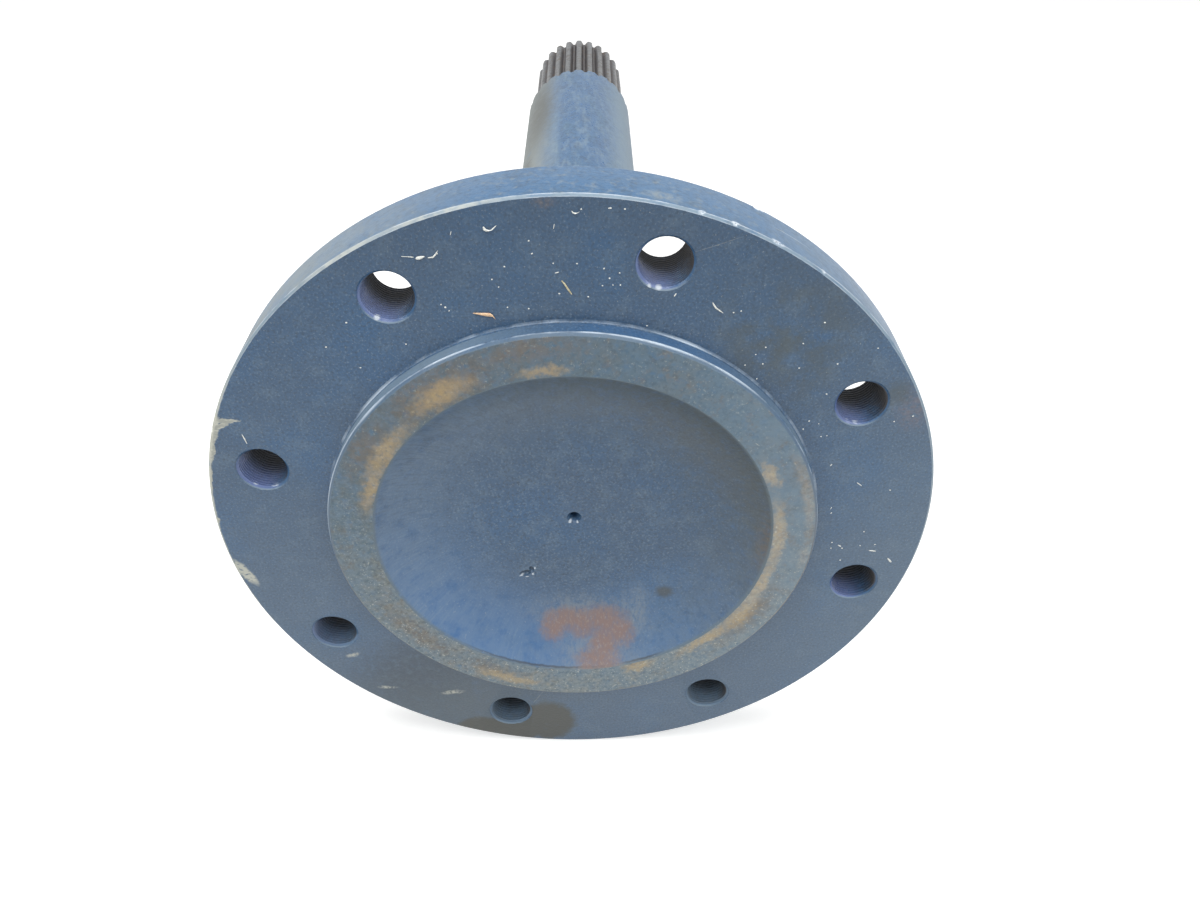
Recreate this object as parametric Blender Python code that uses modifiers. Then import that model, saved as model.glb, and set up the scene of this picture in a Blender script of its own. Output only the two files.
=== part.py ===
"""Flanged rear axle shaft of a tractor, forged and turned in one piece.

The shaft lies level, as it sits in its housing. The wheel side of the flange looks along -Y,
the splined end points along +Y, and +Z is up. The origin is where the shaft's axis crosses
the flat face that the wheel disc is bolted against. Lengths are in metres.
"""

import math

import bmesh
import bpy
from mathutils import Matrix, Vector

# How far a cutter runs past the wall it cuts
OVERRUN = 0.002

# Facets round the turned body, which divide by the bolt holes and by the teeth, and round a hole
TURN_STEPS = 96
HOLE_STEPS = 32
CENTRE_HOLE_STEPS = 24

# Flange
FLANGE_RADIUS = 0.160
FLANGE_THICKNESS = 0.026
FLANGE_EDGE_CHAMFER = 0.001
FLANGE_BACK_FILLET = 0.012
BACK_FILLET_STEPS = 6

# Wheel bolt holes, tapped M22 x 1.5 and countersunk on both faces
BOLT_COUNT = 8
BOLT_FROM_RIM = 0.0225
BOLT_CIRCLE_RADIUS = FLANGE_RADIUS - BOLT_FROM_RIM
BOLT_FIRST_ANGLE = math.radians(30.4)
BOLT_BORE_RADIUS = 0.0102
FRONT_COUNTERSINK_DEPTH = 0.0013
BACK_COUNTERSINK_DEPTH = 0.0008

# Raised pilot ring that the wheel disc is centred on
PILOT_FROM_BOLTS = 0.0293
PILOT_RADIUS = BOLT_CIRCLE_RADIUS - PILOT_FROM_BOLTS
PILOT_HEIGHT = 0.0084
PILOT_EDGE_CHAMFER = 0.0014
PILOT_ROOT_FILLET = 0.0012
PILOT_FILLET_STEPS = 3

# Dished recess inside the ring: a level floor that sweeps up to the ring in one arc
RING_WIDTH = 0.0196
RECESS_RADIUS = PILOT_RADIUS - RING_WIDTH
RECESS_SWEEP = 0.0406
RECESS_FLOOR_RADIUS = RECESS_RADIUS - RECESS_SWEEP
RECESS_DEPTH = 0.0159
RECESS_ARC_STEPS = 10

# Centre holes at both ends, 60 degrees
CENTRE_HOLE_RADIUS = 0.00335
CENTRE_BORE_RADIUS = 0.00158
CENTRE_BORE_DEPTH = 0.004

# Plain shaft, shoulder and splined end
SHAFT_RADIUS = 0.0431
SHOULDER_FROM_FACE = 0.5185
SPLINE_END_FROM_FACE = 0.6218
SPLINE_END_CHAMFER = 0.002

# Splines: straight-sided gaps cut by a hob that lifts out through the shoulder
TOOTH_COUNT = 24
TOOTH_FIRST_ANGLE = math.radians(90.4)
TOOTH_TIP_RADIUS = 0.0385
TOOTH_DEPTH = 0.004
TOOTH_TIP_WIDTH = 0.0034
TOOTH_ROOT_GAP = 0.0016
HOB_RADIUS = 0.040
HOB_LIFT_FROM_SHOULDER = 0.0198
HOB_STEPS = 6

# Colours are linear
PAINT_COLOUR = (0.105, 0.155, 0.225, 1.0)
PAINT_ROUGHNESS = 0.45
PAINT_METALLIC = 0.0

SHARP_ANGLE = math.radians(32.0)

# The shapes are drawn with the wheel side of the flange up, then laid level
LAY_LEVEL = Matrix.Rotation(math.radians(90.0), 4, "X")


def clear_scene():
    """Remove every object, so that the file holds this shaft only."""
    for item in list(bpy.data.objects):
        bpy.data.objects.remove(item, do_unlink=True)


def new_collection(name):
    """Add a collection to the scene."""
    collection = bpy.data.collections.new(name)
    bpy.context.scene.collection.children.link(collection)
    return collection


def paint_material():
    """Dull slate blue machine paint."""
    material = bpy.data.materials.new("slate_blue_paint")
    material.use_nodes = True
    shader = material.node_tree.nodes["Principled BSDF"]
    shader.inputs["Base Color"].default_value = PAINT_COLOUR
    shader.inputs["Roughness"].default_value = PAINT_ROUGHNESS
    shader.inputs["Metallic"].default_value = PAINT_METALLIC
    return material


def arc(centre, radius, start, end, steps):
    """Points on an arc in the profile plane, both ends included."""
    points = []
    for step in range(steps + 1):
        angle = start + (end - start) * step / steps
        points.append((centre[0] + radius * math.cos(angle), centre[1] + radius * math.sin(angle)))
    return points


def recess_profile():
    """The dish: a level floor, then an arc that meets the ring at a crisp edge."""
    run = RECESS_SWEEP
    arc_radius = (run * run + RECESS_DEPTH * RECESS_DEPTH) / (2.0 * RECESS_DEPTH)
    floor_height = PILOT_HEIGHT - RECESS_DEPTH
    arc_angle = 2.0 * math.atan2(RECESS_DEPTH, run)
    down = -math.pi / 2.0
    centre = (RECESS_FLOOR_RADIUS, floor_height + arc_radius)
    sweep = arc(centre, arc_radius, down, down + arc_angle, RECESS_ARC_STEPS)
    return [(0.0, floor_height)] + sweep


def pilot_profile():
    """The ring's outer chamfer, its wall and the small fillet at its root."""
    chamfer = PILOT_EDGE_CHAMFER
    fillet = PILOT_ROOT_FILLET
    root_centre = (PILOT_RADIUS + fillet, fillet)
    root = arc(root_centre, fillet, math.pi, 1.5 * math.pi, PILOT_FILLET_STEPS)
    return [
        (PILOT_RADIUS - chamfer, PILOT_HEIGHT),
        (PILOT_RADIUS, PILOT_HEIGHT - chamfer),
    ] + root


def flange_profile():
    """The rim with its two broken edges, and the fillet that runs into the shaft."""
    chamfer = FLANGE_EDGE_CHAMFER
    fillet = FLANGE_BACK_FILLET
    back = -FLANGE_THICKNESS
    fillet_centre = (SHAFT_RADIUS + fillet, back - fillet)
    sweep = arc(fillet_centre, fillet, math.pi / 2.0, math.pi, BACK_FILLET_STEPS)
    return [
        (FLANGE_RADIUS - chamfer, 0.0),
        (FLANGE_RADIUS, -chamfer),
        (FLANGE_RADIUS, back + chamfer),
        (FLANGE_RADIUS - chamfer, back),
    ] + sweep


def shaft_profile():
    """The plain shaft, the 45 degree shoulder, the spline blank and its end."""
    step = SHAFT_RADIUS - TOOTH_TIP_RADIUS
    chamfer = SPLINE_END_CHAMFER
    end = -SPLINE_END_FROM_FACE
    return [
        (SHAFT_RADIUS, -SHOULDER_FROM_FACE),
        (TOOTH_TIP_RADIUS, -SHOULDER_FROM_FACE - step),
        (TOOTH_TIP_RADIUS, end + chamfer),
        (TOOTH_TIP_RADIUS - chamfer, end),
        (0.0, end),
    ]


def turned_body(collection):
    """The whole forging as one turned shape."""
    profile = recess_profile() + pilot_profile() + flange_profile() + shaft_profile()
    mesh = bpy.data.meshes.new("axle_shaft")
    points = [(radius, 0.0, height) for radius, height in profile]
    edges = [(index, index + 1) for index in range(len(points) - 1)]
    mesh.from_pydata(points, edges, [])
    body = bpy.data.objects.new("axle_shaft", mesh)
    collection.objects.link(body)
    body.data.materials.append(paint_material())

    screw = body.modifiers.new("turn", "SCREW")
    screw.axis = "Z"
    screw.steps = TURN_STEPS
    screw.render_steps = TURN_STEPS
    screw.use_merge_vertices = True
    screw.merge_threshold = 0.00001
    screw.use_smooth_shade = True
    return body


def turned_shape(profile, steps):
    """A closed turned shape for a cutter, from a profile that starts and ends on the axis."""
    shape = bmesh.new()
    points = [shape.verts.new((radius, 0.0, height)) for radius, height in profile]
    lines = [shape.edges.new(pair) for pair in zip(points, points[1:])]
    bmesh.ops.spin(
        shape,
        geom=points + lines,
        cent=(0.0, 0.0, 0.0),
        axis=(0.0, 0.0, 1.0),
        angle=math.tau,
        steps=steps,
        use_merge=True,
    )
    bmesh.ops.remove_doubles(shape, verts=shape.verts[:], dist=0.00001)
    bmesh.ops.recalc_face_normals(shape, faces=shape.faces[:])
    return shape


def bolt_hole_cutter(collection):
    """All bolt holes as one cutter: a bore for each, and a cone at each face."""
    front = FRONT_COUNTERSINK_DEPTH + OVERRUN
    back = BACK_COUNTERSINK_DEPTH + OVERRUN
    top = OVERRUN
    bottom = -FLANGE_THICKNESS - OVERRUN
    profile = [
        (0.0, top),
        (BOLT_BORE_RADIUS + front, top),
        (BOLT_BORE_RADIUS, top - front),
        (BOLT_BORE_RADIUS, bottom + back),
        (BOLT_BORE_RADIUS + back, bottom),
        (0.0, bottom),
    ]
    shape = turned_shape(profile, HOLE_STEPS)
    bmesh.ops.translate(shape, verts=shape.verts[:], vec=(BOLT_CIRCLE_RADIUS, 0.0, 0.0))
    return repeat_round_axis(shape, "bolt_holes", BOLT_COUNT, BOLT_FIRST_ANGLE, collection)


def centre_hole_cutter(name, face_height, side, collection):
    """The centre hole of one end. Side is 1 for a face that looks up and -1 for one down."""
    slope = math.tan(math.radians(30.0))
    cone_depth = (CENTRE_HOLE_RADIUS - CENTRE_BORE_RADIUS) / slope
    point_depth = CENTRE_BORE_RADIUS / math.tan(math.radians(59.0))
    bore_end = cone_depth + CENTRE_BORE_DEPTH
    profile = [
        (0.0, face_height + side * OVERRUN),
        (CENTRE_HOLE_RADIUS + OVERRUN * slope, face_height + side * OVERRUN),
        (CENTRE_BORE_RADIUS, face_height - side * cone_depth),
        (CENTRE_BORE_RADIUS, face_height - side * bore_end),
        (0.0, face_height - side * (bore_end + point_depth)),
    ]
    shape = turned_shape(profile, CENTRE_HOLE_STEPS)
    return repeat_round_axis(shape, name, 1, 0.0, collection)


def gap_section(shape, height, top):
    """Six corners of the gap's cross-section, its root at the given height."""
    half_root = TOOTH_ROOT_GAP / 2.0
    pitch = math.tau * TOOTH_TIP_RADIUS / TOOTH_COUNT
    half_tip = (pitch - TOOTH_TIP_WIDTH) / 2.0
    slope = (half_tip - half_root) / TOOTH_DEPTH
    shoulder_height = TOOTH_DEPTH * 1.25
    half_top = half_root + slope * shoulder_height
    corners = [
        (height, -half_root),
        (height + shoulder_height, -half_top),
        (top, -half_top),
        (top, half_top),
        (height + shoulder_height, half_top),
        (height, half_root),
    ]
    return [shape.verts.new((x, y, 0.0)) for x, y in corners]


def hob_path():
    """Stations along a gap: its depth below the face and the height of its root."""
    root = TOOTH_TIP_RADIUS - TOOTH_DEPTH
    lift_start = -SHOULDER_FROM_FACE - HOB_LIFT_FROM_SHOULDER
    rise = SHAFT_RADIUS - root + OVERRUN
    reach = math.acos(1.0 - rise / HOB_RADIUS)
    stations = [(-SPLINE_END_FROM_FACE - OVERRUN, root)]
    for step in range(HOB_STEPS + 1):
        angle = reach * step / HOB_STEPS
        run = HOB_RADIUS * math.sin(angle)
        lift = HOB_RADIUS * (1.0 - math.cos(angle))
        stations.append((lift_start + run, root + lift))
    return stations


def spline_cutter(collection):
    """All the gaps between the teeth as one cutter, each lifting out through the shoulder."""
    shape = bmesh.new()
    top = SHAFT_RADIUS + TOOTH_DEPTH * 1.25 + 2.0 * OVERRUN
    sections = []
    for depth, height in hob_path():
        section = gap_section(shape, height, top + OVERRUN)
        bmesh.ops.translate(shape, verts=section, vec=(0.0, 0.0, depth))
        sections.append(section)
    loops = []
    for section in sections:
        ring = zip(section, section[1:] + section[:1])
        loops.append([shape.edges.new(pair) for pair in ring])
    for lower, upper in zip(loops, loops[1:]):
        bmesh.ops.bridge_loops(shape, edges=lower + upper)
    bmesh.ops.contextual_create(shape, geom=loops[0])
    bmesh.ops.contextual_create(shape, geom=loops[-1])
    bmesh.ops.recalc_face_normals(shape, faces=shape.faces[:])
    half_pitch = math.pi / TOOTH_COUNT
    first = TOOTH_FIRST_ANGLE + half_pitch
    return repeat_round_axis(shape, "spline_gaps", TOOTH_COUNT, first, collection)


def repeat_round_axis(shape, name, count, first_angle, collection):
    """Copy a closed shape evenly round the axis into one cutter object."""
    original = shape.verts[:] + shape.edges[:] + shape.faces[:]
    for index in range(1, count):
        copy = bmesh.ops.duplicate(shape, geom=original)["geom"]
        moved = [item for item in copy if isinstance(item, bmesh.types.BMVert)]
        turn = Matrix.Rotation(math.tau * index / count, 3, "Z")
        bmesh.ops.rotate(shape, verts=moved, cent=Vector((0.0, 0.0, 0.0)), matrix=turn)
    start = Matrix.Rotation(first_angle, 3, "Z")
    bmesh.ops.rotate(shape, verts=shape.verts[:], cent=Vector((0.0, 0.0, 0.0)), matrix=start)
    mesh = bpy.data.meshes.new(name)
    shape.to_mesh(mesh)
    shape.free()
    cutter = bpy.data.objects.new(name, mesh)
    cutter.hide_render = True
    cutter.display_type = "WIRE"
    collection.objects.link(cutter)
    return cutter


def cut(body, cutter):
    """Take a cutter's shape out of the body."""
    boolean = body.modifiers.new(cutter.name, "BOOLEAN")
    boolean.operation = "DIFFERENCE"
    boolean.solver = "EXACT"
    boolean.object = cutter


def lay_level(items):
    """Turn the shapes together, from flange up to flange forward."""
    for item in items:
        item.matrix_world = LAY_LEVEL


def settle(body):
    """Fix the cuts in the mesh and shade the round faces smooth between crisp edges."""
    depsgraph = bpy.context.evaluated_depsgraph_get()
    mesh = bpy.data.meshes.new_from_object(body.evaluated_get(depsgraph))
    body.modifiers.clear()
    body.data = mesh
    mesh.name = body.name
    mesh.shade_smooth()
    mesh.set_sharp_from_angle(angle=SHARP_ANGLE)


def main():
    """Build the axle shaft."""
    clear_scene()
    parts = new_collection("tractor_rear_axle")
    cutters = new_collection("cutters")
    body = turned_body(parts)
    floor_height = PILOT_HEIGHT - RECESS_DEPTH
    cuts = [
        bolt_hole_cutter(cutters),
        spline_cutter(cutters),
        centre_hole_cutter("wheel_side_centre", floor_height, 1.0, cutters),
        centre_hole_cutter("spline_end_centre", -SPLINE_END_FROM_FACE, -1.0, cutters),
    ]
    for cutter in cuts:
        cut(body, cutter)
    lay_level([body] + cuts)
    bpy.context.view_layer.update()
    settle(body)


main()
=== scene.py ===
"""Tractor rear axle: a flanged axle shaft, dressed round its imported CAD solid.

The frame is the CAD's. The shaft lies level along +Y, the wheel side of its flange looks
along -Y and +Z is up. The origin is where the axis crosses the flat wheel face. A bearing
is an angle round the axis, from +X towards +Z. Sizes are in metres unless a name says mm.
"""

import logging
import math
from collections.abc import Callable
from dataclasses import dataclass
from enum import Enum

import bmesh
import bpy
from mathutils import Matrix, Vector


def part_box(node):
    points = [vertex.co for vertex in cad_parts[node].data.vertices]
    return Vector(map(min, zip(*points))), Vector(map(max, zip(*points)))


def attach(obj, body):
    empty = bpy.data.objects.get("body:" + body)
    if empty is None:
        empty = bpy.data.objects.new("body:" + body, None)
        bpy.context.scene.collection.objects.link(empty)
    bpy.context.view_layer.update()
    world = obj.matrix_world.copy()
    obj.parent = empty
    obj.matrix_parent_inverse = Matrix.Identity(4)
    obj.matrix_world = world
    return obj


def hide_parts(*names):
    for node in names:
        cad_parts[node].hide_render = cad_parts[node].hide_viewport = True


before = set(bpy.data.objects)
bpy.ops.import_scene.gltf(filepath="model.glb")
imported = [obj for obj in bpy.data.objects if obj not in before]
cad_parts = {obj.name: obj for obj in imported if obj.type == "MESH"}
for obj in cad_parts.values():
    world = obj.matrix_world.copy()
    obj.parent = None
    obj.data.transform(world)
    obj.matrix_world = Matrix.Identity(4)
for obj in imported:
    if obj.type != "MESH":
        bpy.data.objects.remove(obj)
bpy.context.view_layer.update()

NODE = "axle_shaft"
BODY = "root"
MM = 0.001
MERGE = 0.00001
OVERRUN = 0.002
FACETS = 192
RAGGED_GRAIN = 4.0 * MM

log = logging.getLogger("rear_axle")

Point = tuple[float, float]
Place = tuple[float, float, float]
Row = tuple[float, ...]
Mask = bpy.types.NodeSocket


# ---------------------------------------------------------------- modelling by hand


class Lay(Enum):
    """How the place of a mark is given."""

    FLAT = "by its x and z"
    ROUND = "by its bearing and radius"


class End(Enum):
    """Which way an end of the shaft looks along Y."""

    WHEEL = -1.0
    SPLINE = 1.0


class Region(Enum):
    """The parts of the flange that are worn each in its own way, as numbers of its finishes."""

    FACE = 0
    RIM = 1
    RING = 2
    DISH = 3
    HOLE = 4


def rounded(
    corner: Point, before: Point, after: Point, radius: float, steps: int = 3,
) -> list[Point]:
    """Round one corner of an outline.

    Args:
        corner: The sharp corner.
        before: The point before it.
        after: The point after it.
        radius: Radius of the rounding.
        steps: How many chords make it.

    Returns:
        The points that stand for the corner, in order.
    """
    tip = Vector(corner)
    back = (Vector(before) - tip).normalized()
    on = (Vector(after) - tip).normalized()
    half = back.angle(on) / 2.0
    centre = tip + (back + on).normalized() * radius / math.sin(half)
    start = tip + back * radius / math.tan(half) - centre
    end = tip + on * radius / math.tan(half) - centre
    sweep = start.angle_signed(end)
    points = []
    for step in range(steps + 1):
        turned = start.copy()
        turned.rotate(Matrix.Rotation(-sweep * step / steps, 2))
        points.append(tuple(centre + turned))
    return points


def soften(points: list[Point], radii: dict[int, float]) -> list[Point]:
    """Round the numbered corners of an outline.

    Args:
        points: The outline with sharp corners.
        radii: Radius for each corner's number.

    Returns:
        The outline with those corners rounded.
    """
    out = []
    for index, point in enumerate(points):
        if index in radii:
            out += rounded(point, points[index - 1], points[index + 1], radii[index])
        else:
            out.append(point)
    return out


def clear_selection() -> None:
    """Leave nothing selected, because the CAD node arrives selected."""
    if bpy.context.mode != "OBJECT":
        bpy.ops.object.mode_set(mode="OBJECT")
    bpy.ops.object.select_all(action="DESELECT")


def start_editing(piece: bpy.types.Object) -> None:
    """Open one piece alone in edit mode with all of it selected."""
    clear_selection()
    piece.select_set(True)
    bpy.context.view_layer.objects.active = piece
    bpy.ops.object.mode_set(mode="EDIT")
    bpy.ops.mesh.select_mode(type="VERT")
    bpy.ops.mesh.select_all(action="SELECT")


def pick(piece: bpy.types.Object, wanted: Callable[[Vector], bool]) -> None:
    """Select, in edit mode, only the corners whose place passes a test.

    Args:
        piece: The piece in edit mode.
        wanted: Says whether a corner at this place is picked.
    """
    bpy.ops.mesh.select_all(action="DESELECT")
    shape = bmesh.from_edit_mesh(piece.data)
    for corner in shape.verts:
        corner.select_set(wanted(corner.co))
    shape.select_flush(True)
    bmesh.update_edit_mesh(piece.data)


def draw_line(name: str, points: list[Point]) -> bpy.types.Object:
    """Draw a line in the XY plane by pulling a corner from point to point.

    Args:
        name: Name of the piece.
        points: Where the line goes.

    Returns:
        The piece, in edit mode, with its last corner selected.
    """
    clear_selection()
    first = points[0]
    bpy.ops.mesh.primitive_plane_add(size=OVERRUN, location=(*first, 0.0))
    line = bpy.context.object
    line.name = line.data.name = name
    bpy.ops.object.transform_apply(location=True, rotation=True, scale=True)
    start_editing(line)
    bpy.ops.mesh.merge(type="CENTER")
    for start, end in zip(points, points[1:]):
        step = (end[0] - start[0], end[1] - start[1], 0.0)
        bpy.ops.mesh.extrude_region_move(TRANSFORM_OT_translate={"value": step})
    return line


def close_up() -> None:
    """Merge doubled corners of the piece being edited, turn its faces out and leave it."""
    bpy.ops.mesh.select_all(action="SELECT")
    bpy.ops.mesh.remove_doubles(threshold=MERGE)
    bpy.ops.mesh.normals_make_consistent(inside=False)
    bpy.ops.object.mode_set(mode="OBJECT")


def turn_solid(name: str, profile: list[Point], facets: int) -> bpy.types.Object:
    """Spin a profile round the Y axis into a closed solid.

    Args:
        name: Name of the piece.
        profile: Radius and place along Y, from axis to axis.
        facets: Facets round the axis.

    Returns:
        The solid.
    """
    solid = draw_line(name, profile)
    bpy.ops.mesh.select_all(action="SELECT")
    bpy.ops.mesh.spin(steps=facets, angle=math.tau, center=(0, 0, 0), axis=(0, 1, 0))
    close_up()
    return solid


def move_mesh(piece: bpy.types.Object, move: Matrix) -> bpy.types.Object:
    """Place a piece in its mesh, so that its object stays at the origin."""
    piece.data.transform(move)
    return piece


def join_pieces(pieces: list[bpy.types.Object], name: str) -> bpy.types.Object:
    """Join pieces into the first of them and name it."""
    clear_selection()
    for piece in pieces:
        piece.select_set(True)
    whole = pieces[0]
    bpy.context.view_layer.objects.active = whole
    bpy.ops.object.join()
    whole.name = whole.data.name = name
    return whole


def copy_round(first: bpy.types.Object, count: int, start: float) -> bpy.types.Object:
    """Copy a piece that lies at bearing 0 evenly round the axis, and join the copies.

    Args:
        first: The piece to copy.
        count: How many stand round the axis.
        start: Bearing of the first.

    Returns:
        All of them as one piece.
    """
    copies = []
    for index in range(1, count):
        copy = first.copy()
        copy.data = first.data.copy()
        bpy.context.scene.collection.objects.link(copy)
        copies.append(move_mesh(copy, Matrix.Rotation(-math.tau * index / count, 4, "Y")))
    whole = join_pieces([first, *copies], first.name)
    return move_mesh(whole, Matrix.Rotation(-start, 4, "Y"))


def combine(piece: bpy.types.Object, tool: bpy.types.Object, operation: str) -> None:
    """Apply an exact Boolean between a piece and a tool, and delete the tool.

    Args:
        piece: The piece that is changed.
        tool: The shape that is cut away or added.
        operation: DIFFERENCE or UNION.
    """
    clear_selection()
    piece.select_set(True)
    bpy.context.view_layer.objects.active = piece
    boolean = piece.modifiers.new(tool.name, "BOOLEAN")
    boolean.operation = operation
    boolean.solver = "EXACT"
    boolean.object = tool
    bpy.ops.object.modifier_apply(modifier=boolean.name)
    bpy.data.objects.remove(tool, do_unlink=True)


def finish_piece(
    piece: bpy.types.Object, *materials: bpy.types.Material, sharp: float = 32.0,
) -> None:
    """Shade a piece smooth between crisp edges, dress it and tie it to the CAD.

    Args:
        piece: The finished shape.
        materials: Its finishes.
        sharp: Least angle of a crisp edge, in degrees.
    """
    clear_selection()
    piece.select_set(True)
    bpy.context.view_layer.objects.active = piece
    bpy.ops.object.shade_smooth_by_angle(angle=math.radians(sharp))
    piece.data.materials.clear()
    for material in materials:
        piece.data.materials.append(material)
    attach(piece, BODY)
    piece.select_set(False)
    log.info("%s: %d faces", piece.name, len(piece.data.polygons))


# ---------------------------------------------------------------- finishes


def linear(colour: str) -> tuple[float, float, float, float]:
    """Turn an sRGB hex colour into the linear values that Blender's sockets hold."""
    channels = []
    for place in (1, 3, 5):
        value = int(colour[place:place + 2], 16) / 255.0
        channels.append(value / 12.92 if value <= 0.04045 else ((value + 0.055) / 1.055) ** 2.4)
    return (*channels, 1.0)


def add_node(
    tree: bpy.types.NodeTree, kind: str, inputs: dict | None = None, **settings: object,
) -> bpy.types.Node:
    """Add a node with its settings, values and links.

    Args:
        tree: The node tree.
        kind: Blender's name for the node type.
        inputs: For each input's name or number, a value, or the output that feeds it.
        settings: Attributes of the node.

    Returns:
        The node.
    """
    node = tree.nodes.new(kind)
    for name, value in settings.items():
        setattr(node, name, value)
    for socket, source in (inputs or {}).items():
        if isinstance(source, bpy.types.NodeSocket):
            tree.links.new(source, node.inputs[socket])
        else:
            node.inputs[socket].default_value = source
    return node


@dataclass(frozen=True)
class Coat:
    """What one layer gives the eye: its colour, how rough it is and whether it is metal."""

    label: str
    colour: str
    roughness: float
    metallic: float = 0.0


@dataclass(frozen=True)
class Mark:
    """An oval mark. Its place and half sizes are in mm, or in degrees and mm if it is round.

    Along is x, or the bearing, and up is z, or the radius. Turn is in degrees.
    """

    along: float
    up: float
    half_along: float
    half_up: float
    turn: float = 0.0
    depth: float = 0.0
    half_depth: float = 3.0


class Sheet:
    """The node sheet of one finish, built up coat by coat. Sizes in its methods are in mm."""

    def __init__(self, name: str, ground: Coat) -> None:
        """Start the sheet with its lowest coat all over.

        Args:
            name: Common name of the material and how its surface was made.
            ground: The lowest coat.
        """
        self.material = bpy.data.materials.new(name)
        self.material.use_nodes = True
        self.tree = self.material.node_tree
        self.tree.nodes.clear()
        self.colour = linear(ground.colour)
        self.roughness = ground.roughness
        self.metallic = ground.metallic
        self.height = 0.0
        self.place = self.wire("TexCoord", {}, out="Object")
        split = add_node(self.tree, "ShaderNodeSeparateXYZ", {0: self.place}).outputs
        self.x, self.y, self.z = split[0], split[1], split[2]
        across = self.wire("VectorMath", {0: self.place, 1: (1, 0, 1)}, operation="MULTIPLY")
        self.radius = self.wire("VectorMath", {0: across}, out="Value", operation="LENGTH")
        turn = self.wire("Math", {0: self.z, 1: self.x}, operation="ARCTAN2")
        self.bearing = self.wire("Math", {0: turn}, operation="DEGREES")
        self.ragged = {}

    def wire(self, kind: str, inputs: dict, out: int | str = 0, **settings: object) -> Mask:
        """Add a node to the sheet.

        Args:
            kind: Blender's name for the node type, without ShaderNode.
            inputs: Values, and the outputs that feed it.
            out: Name or number of the output that is used.
            settings: Attributes of the node.

        Returns:
            That output.
        """
        return add_node(self.tree, "ShaderNode" + kind, inputs, **settings).outputs[out]

    def ramp(self, source: Mask, low: float, high: float) -> Mask:
        """Rise smoothly from 0 where a value is low to 1 where it is high."""
        ends = {"Value": source, "From Min": low, "From Max": high}
        return self.wire("MapRange", ends, interpolation_type="SMOOTHSTEP")

    def warp(self, lay: Lay, ragged: float) -> Mask:
        """Give places that noise has pushed about, so that a mark has a ragged edge.

        Args:
            lay: How places are given.
            ragged: How far they are pushed, in mm.

        Returns:
            The places: x, y and z in mm, or the bearing in degrees, y and the radius in mm.
        """
        if (lay, ragged) in self.ragged:
            return self.ragged[lay, ragged]
        grain = {
            "Vector": self.place, "Scale": 1.0 / RAGGED_GRAIN, "Detail": 3.0, "Roughness": 0.65,
        }
        noise = self.wire("TexNoise", grain, out="Color")
        push = self.wire("VectorMath", {0: noise, 1: (0.5, 0.5, 0.5)}, operation="SUBTRACT")
        if lay is Lay.FLAT:
            base = self.wire("VectorMath", {0: self.place, "Scale": 1.0 / MM}, operation="SCALE")
        else:
            row = {0: self.bearing}
            for slot, source in ((1, self.y), (2, self.radius)):
                row[slot] = self.wire("Math", {0: source, 1: 1.0 / MM}, operation="MULTIPLY")
            base = self.wire("CombineXYZ", row)
        reach = 2.0 * ragged
        sum_up = {0: push, 1: (reach, 0.0, reach), 2: base}
        self.ragged[lay, ragged] = self.wire("VectorMath", sum_up, operation="MULTIPLY_ADD")
        return self.ragged[lay, ragged]

    def band(self, source: Mask, low: float, high: float, soft: float) -> Mask:
        """Mask the part of the piece where a measure lies between two values.

        Args:
            source: The measure.
            low: Where the band starts.
            high: Where it ends.
            soft: Width of its fading edges.

        Returns:
            The mask.
        """
        rise = self.ramp(source, (low - soft) * MM, (low + soft) * MM)
        fall = self.ramp(source, (high + soft) * MM, (high - soft) * MM)
        return self.wire("Math", {0: rise, 1: fall}, operation="MULTIPLY")

    def over(self, source: Mask, low: float, soft: float) -> Mask:
        """Mask where a measure is above a value."""
        return self.ramp(source, (low - soft) * MM, (low + soft) * MM)

    def under(self, source: Mask, high: float, soft: float) -> Mask:
        """Mask where a measure is below a value."""
        return self.ramp(source, (high + soft) * MM, (high - soft) * MM)

    def toward(self, offset: Mask, direction: Place) -> Mask:
        """Measure how far an offset goes in a direction."""
        both = {0: offset, 1: direction}
        return self.wire("VectorMath", both, out="Value", operation="DOT_PRODUCT")

    def mottle(
        self, size: float, low: float, high: float, seed: float, detail: float = 3.0,
        stretch: Place = (1, 1, 1),
    ) -> Mask:
        """Mask blotches of noise.

        Args:
            size: Size of a blotch.
            low: Noise value at which the mask starts to rise.
            high: Noise value at which it is whole.
            seed: Which noise.
            detail: How many finer noises are added.
            stretch: How much the blotches are drawn out along each axis.

        Returns:
            The mask.
        """
        place = self.place
        if stretch != (1, 1, 1):
            squeeze = tuple(1.0 / value for value in stretch)
            place = self.wire("Mapping", {"Vector": place, "Scale": squeeze})
        grain = {
            "Vector": place, "W": seed, "Scale": 1.0 / (size * MM), "Detail": detail,
            "Roughness": 0.6,
        }
        return self.ramp(self.wire("TexNoise", grain, noise_dimensions="4D"), low, high)

    def streaks(self, across: float, along: float, low: float, high: float, seed: float) -> Mask:
        """Mask fine streaks that run round the axis, or out from it.

        Args:
            across: How far a streak runs round the axis, in degrees.
            along: How far it runs out from the axis.
            low: Noise value at which the mask starts to rise.
            high: Noise value at which it is whole.
            seed: Which noise.

        Returns:
            The mask.
        """
        row = {1: seed}
        for slot, source, size in ((0, self.bearing, across), (2, self.radius, along * MM)):
            row[slot] = self.wire("Math", {0: source, 1: 1.0 / size}, operation="MULTIPLY")
        grain = {"Vector": self.wire("CombineXYZ", row), "Scale": 1.0, "Detail": 2.0}
        return self.ramp(self.wire("TexNoise", grain), low, high)

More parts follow.
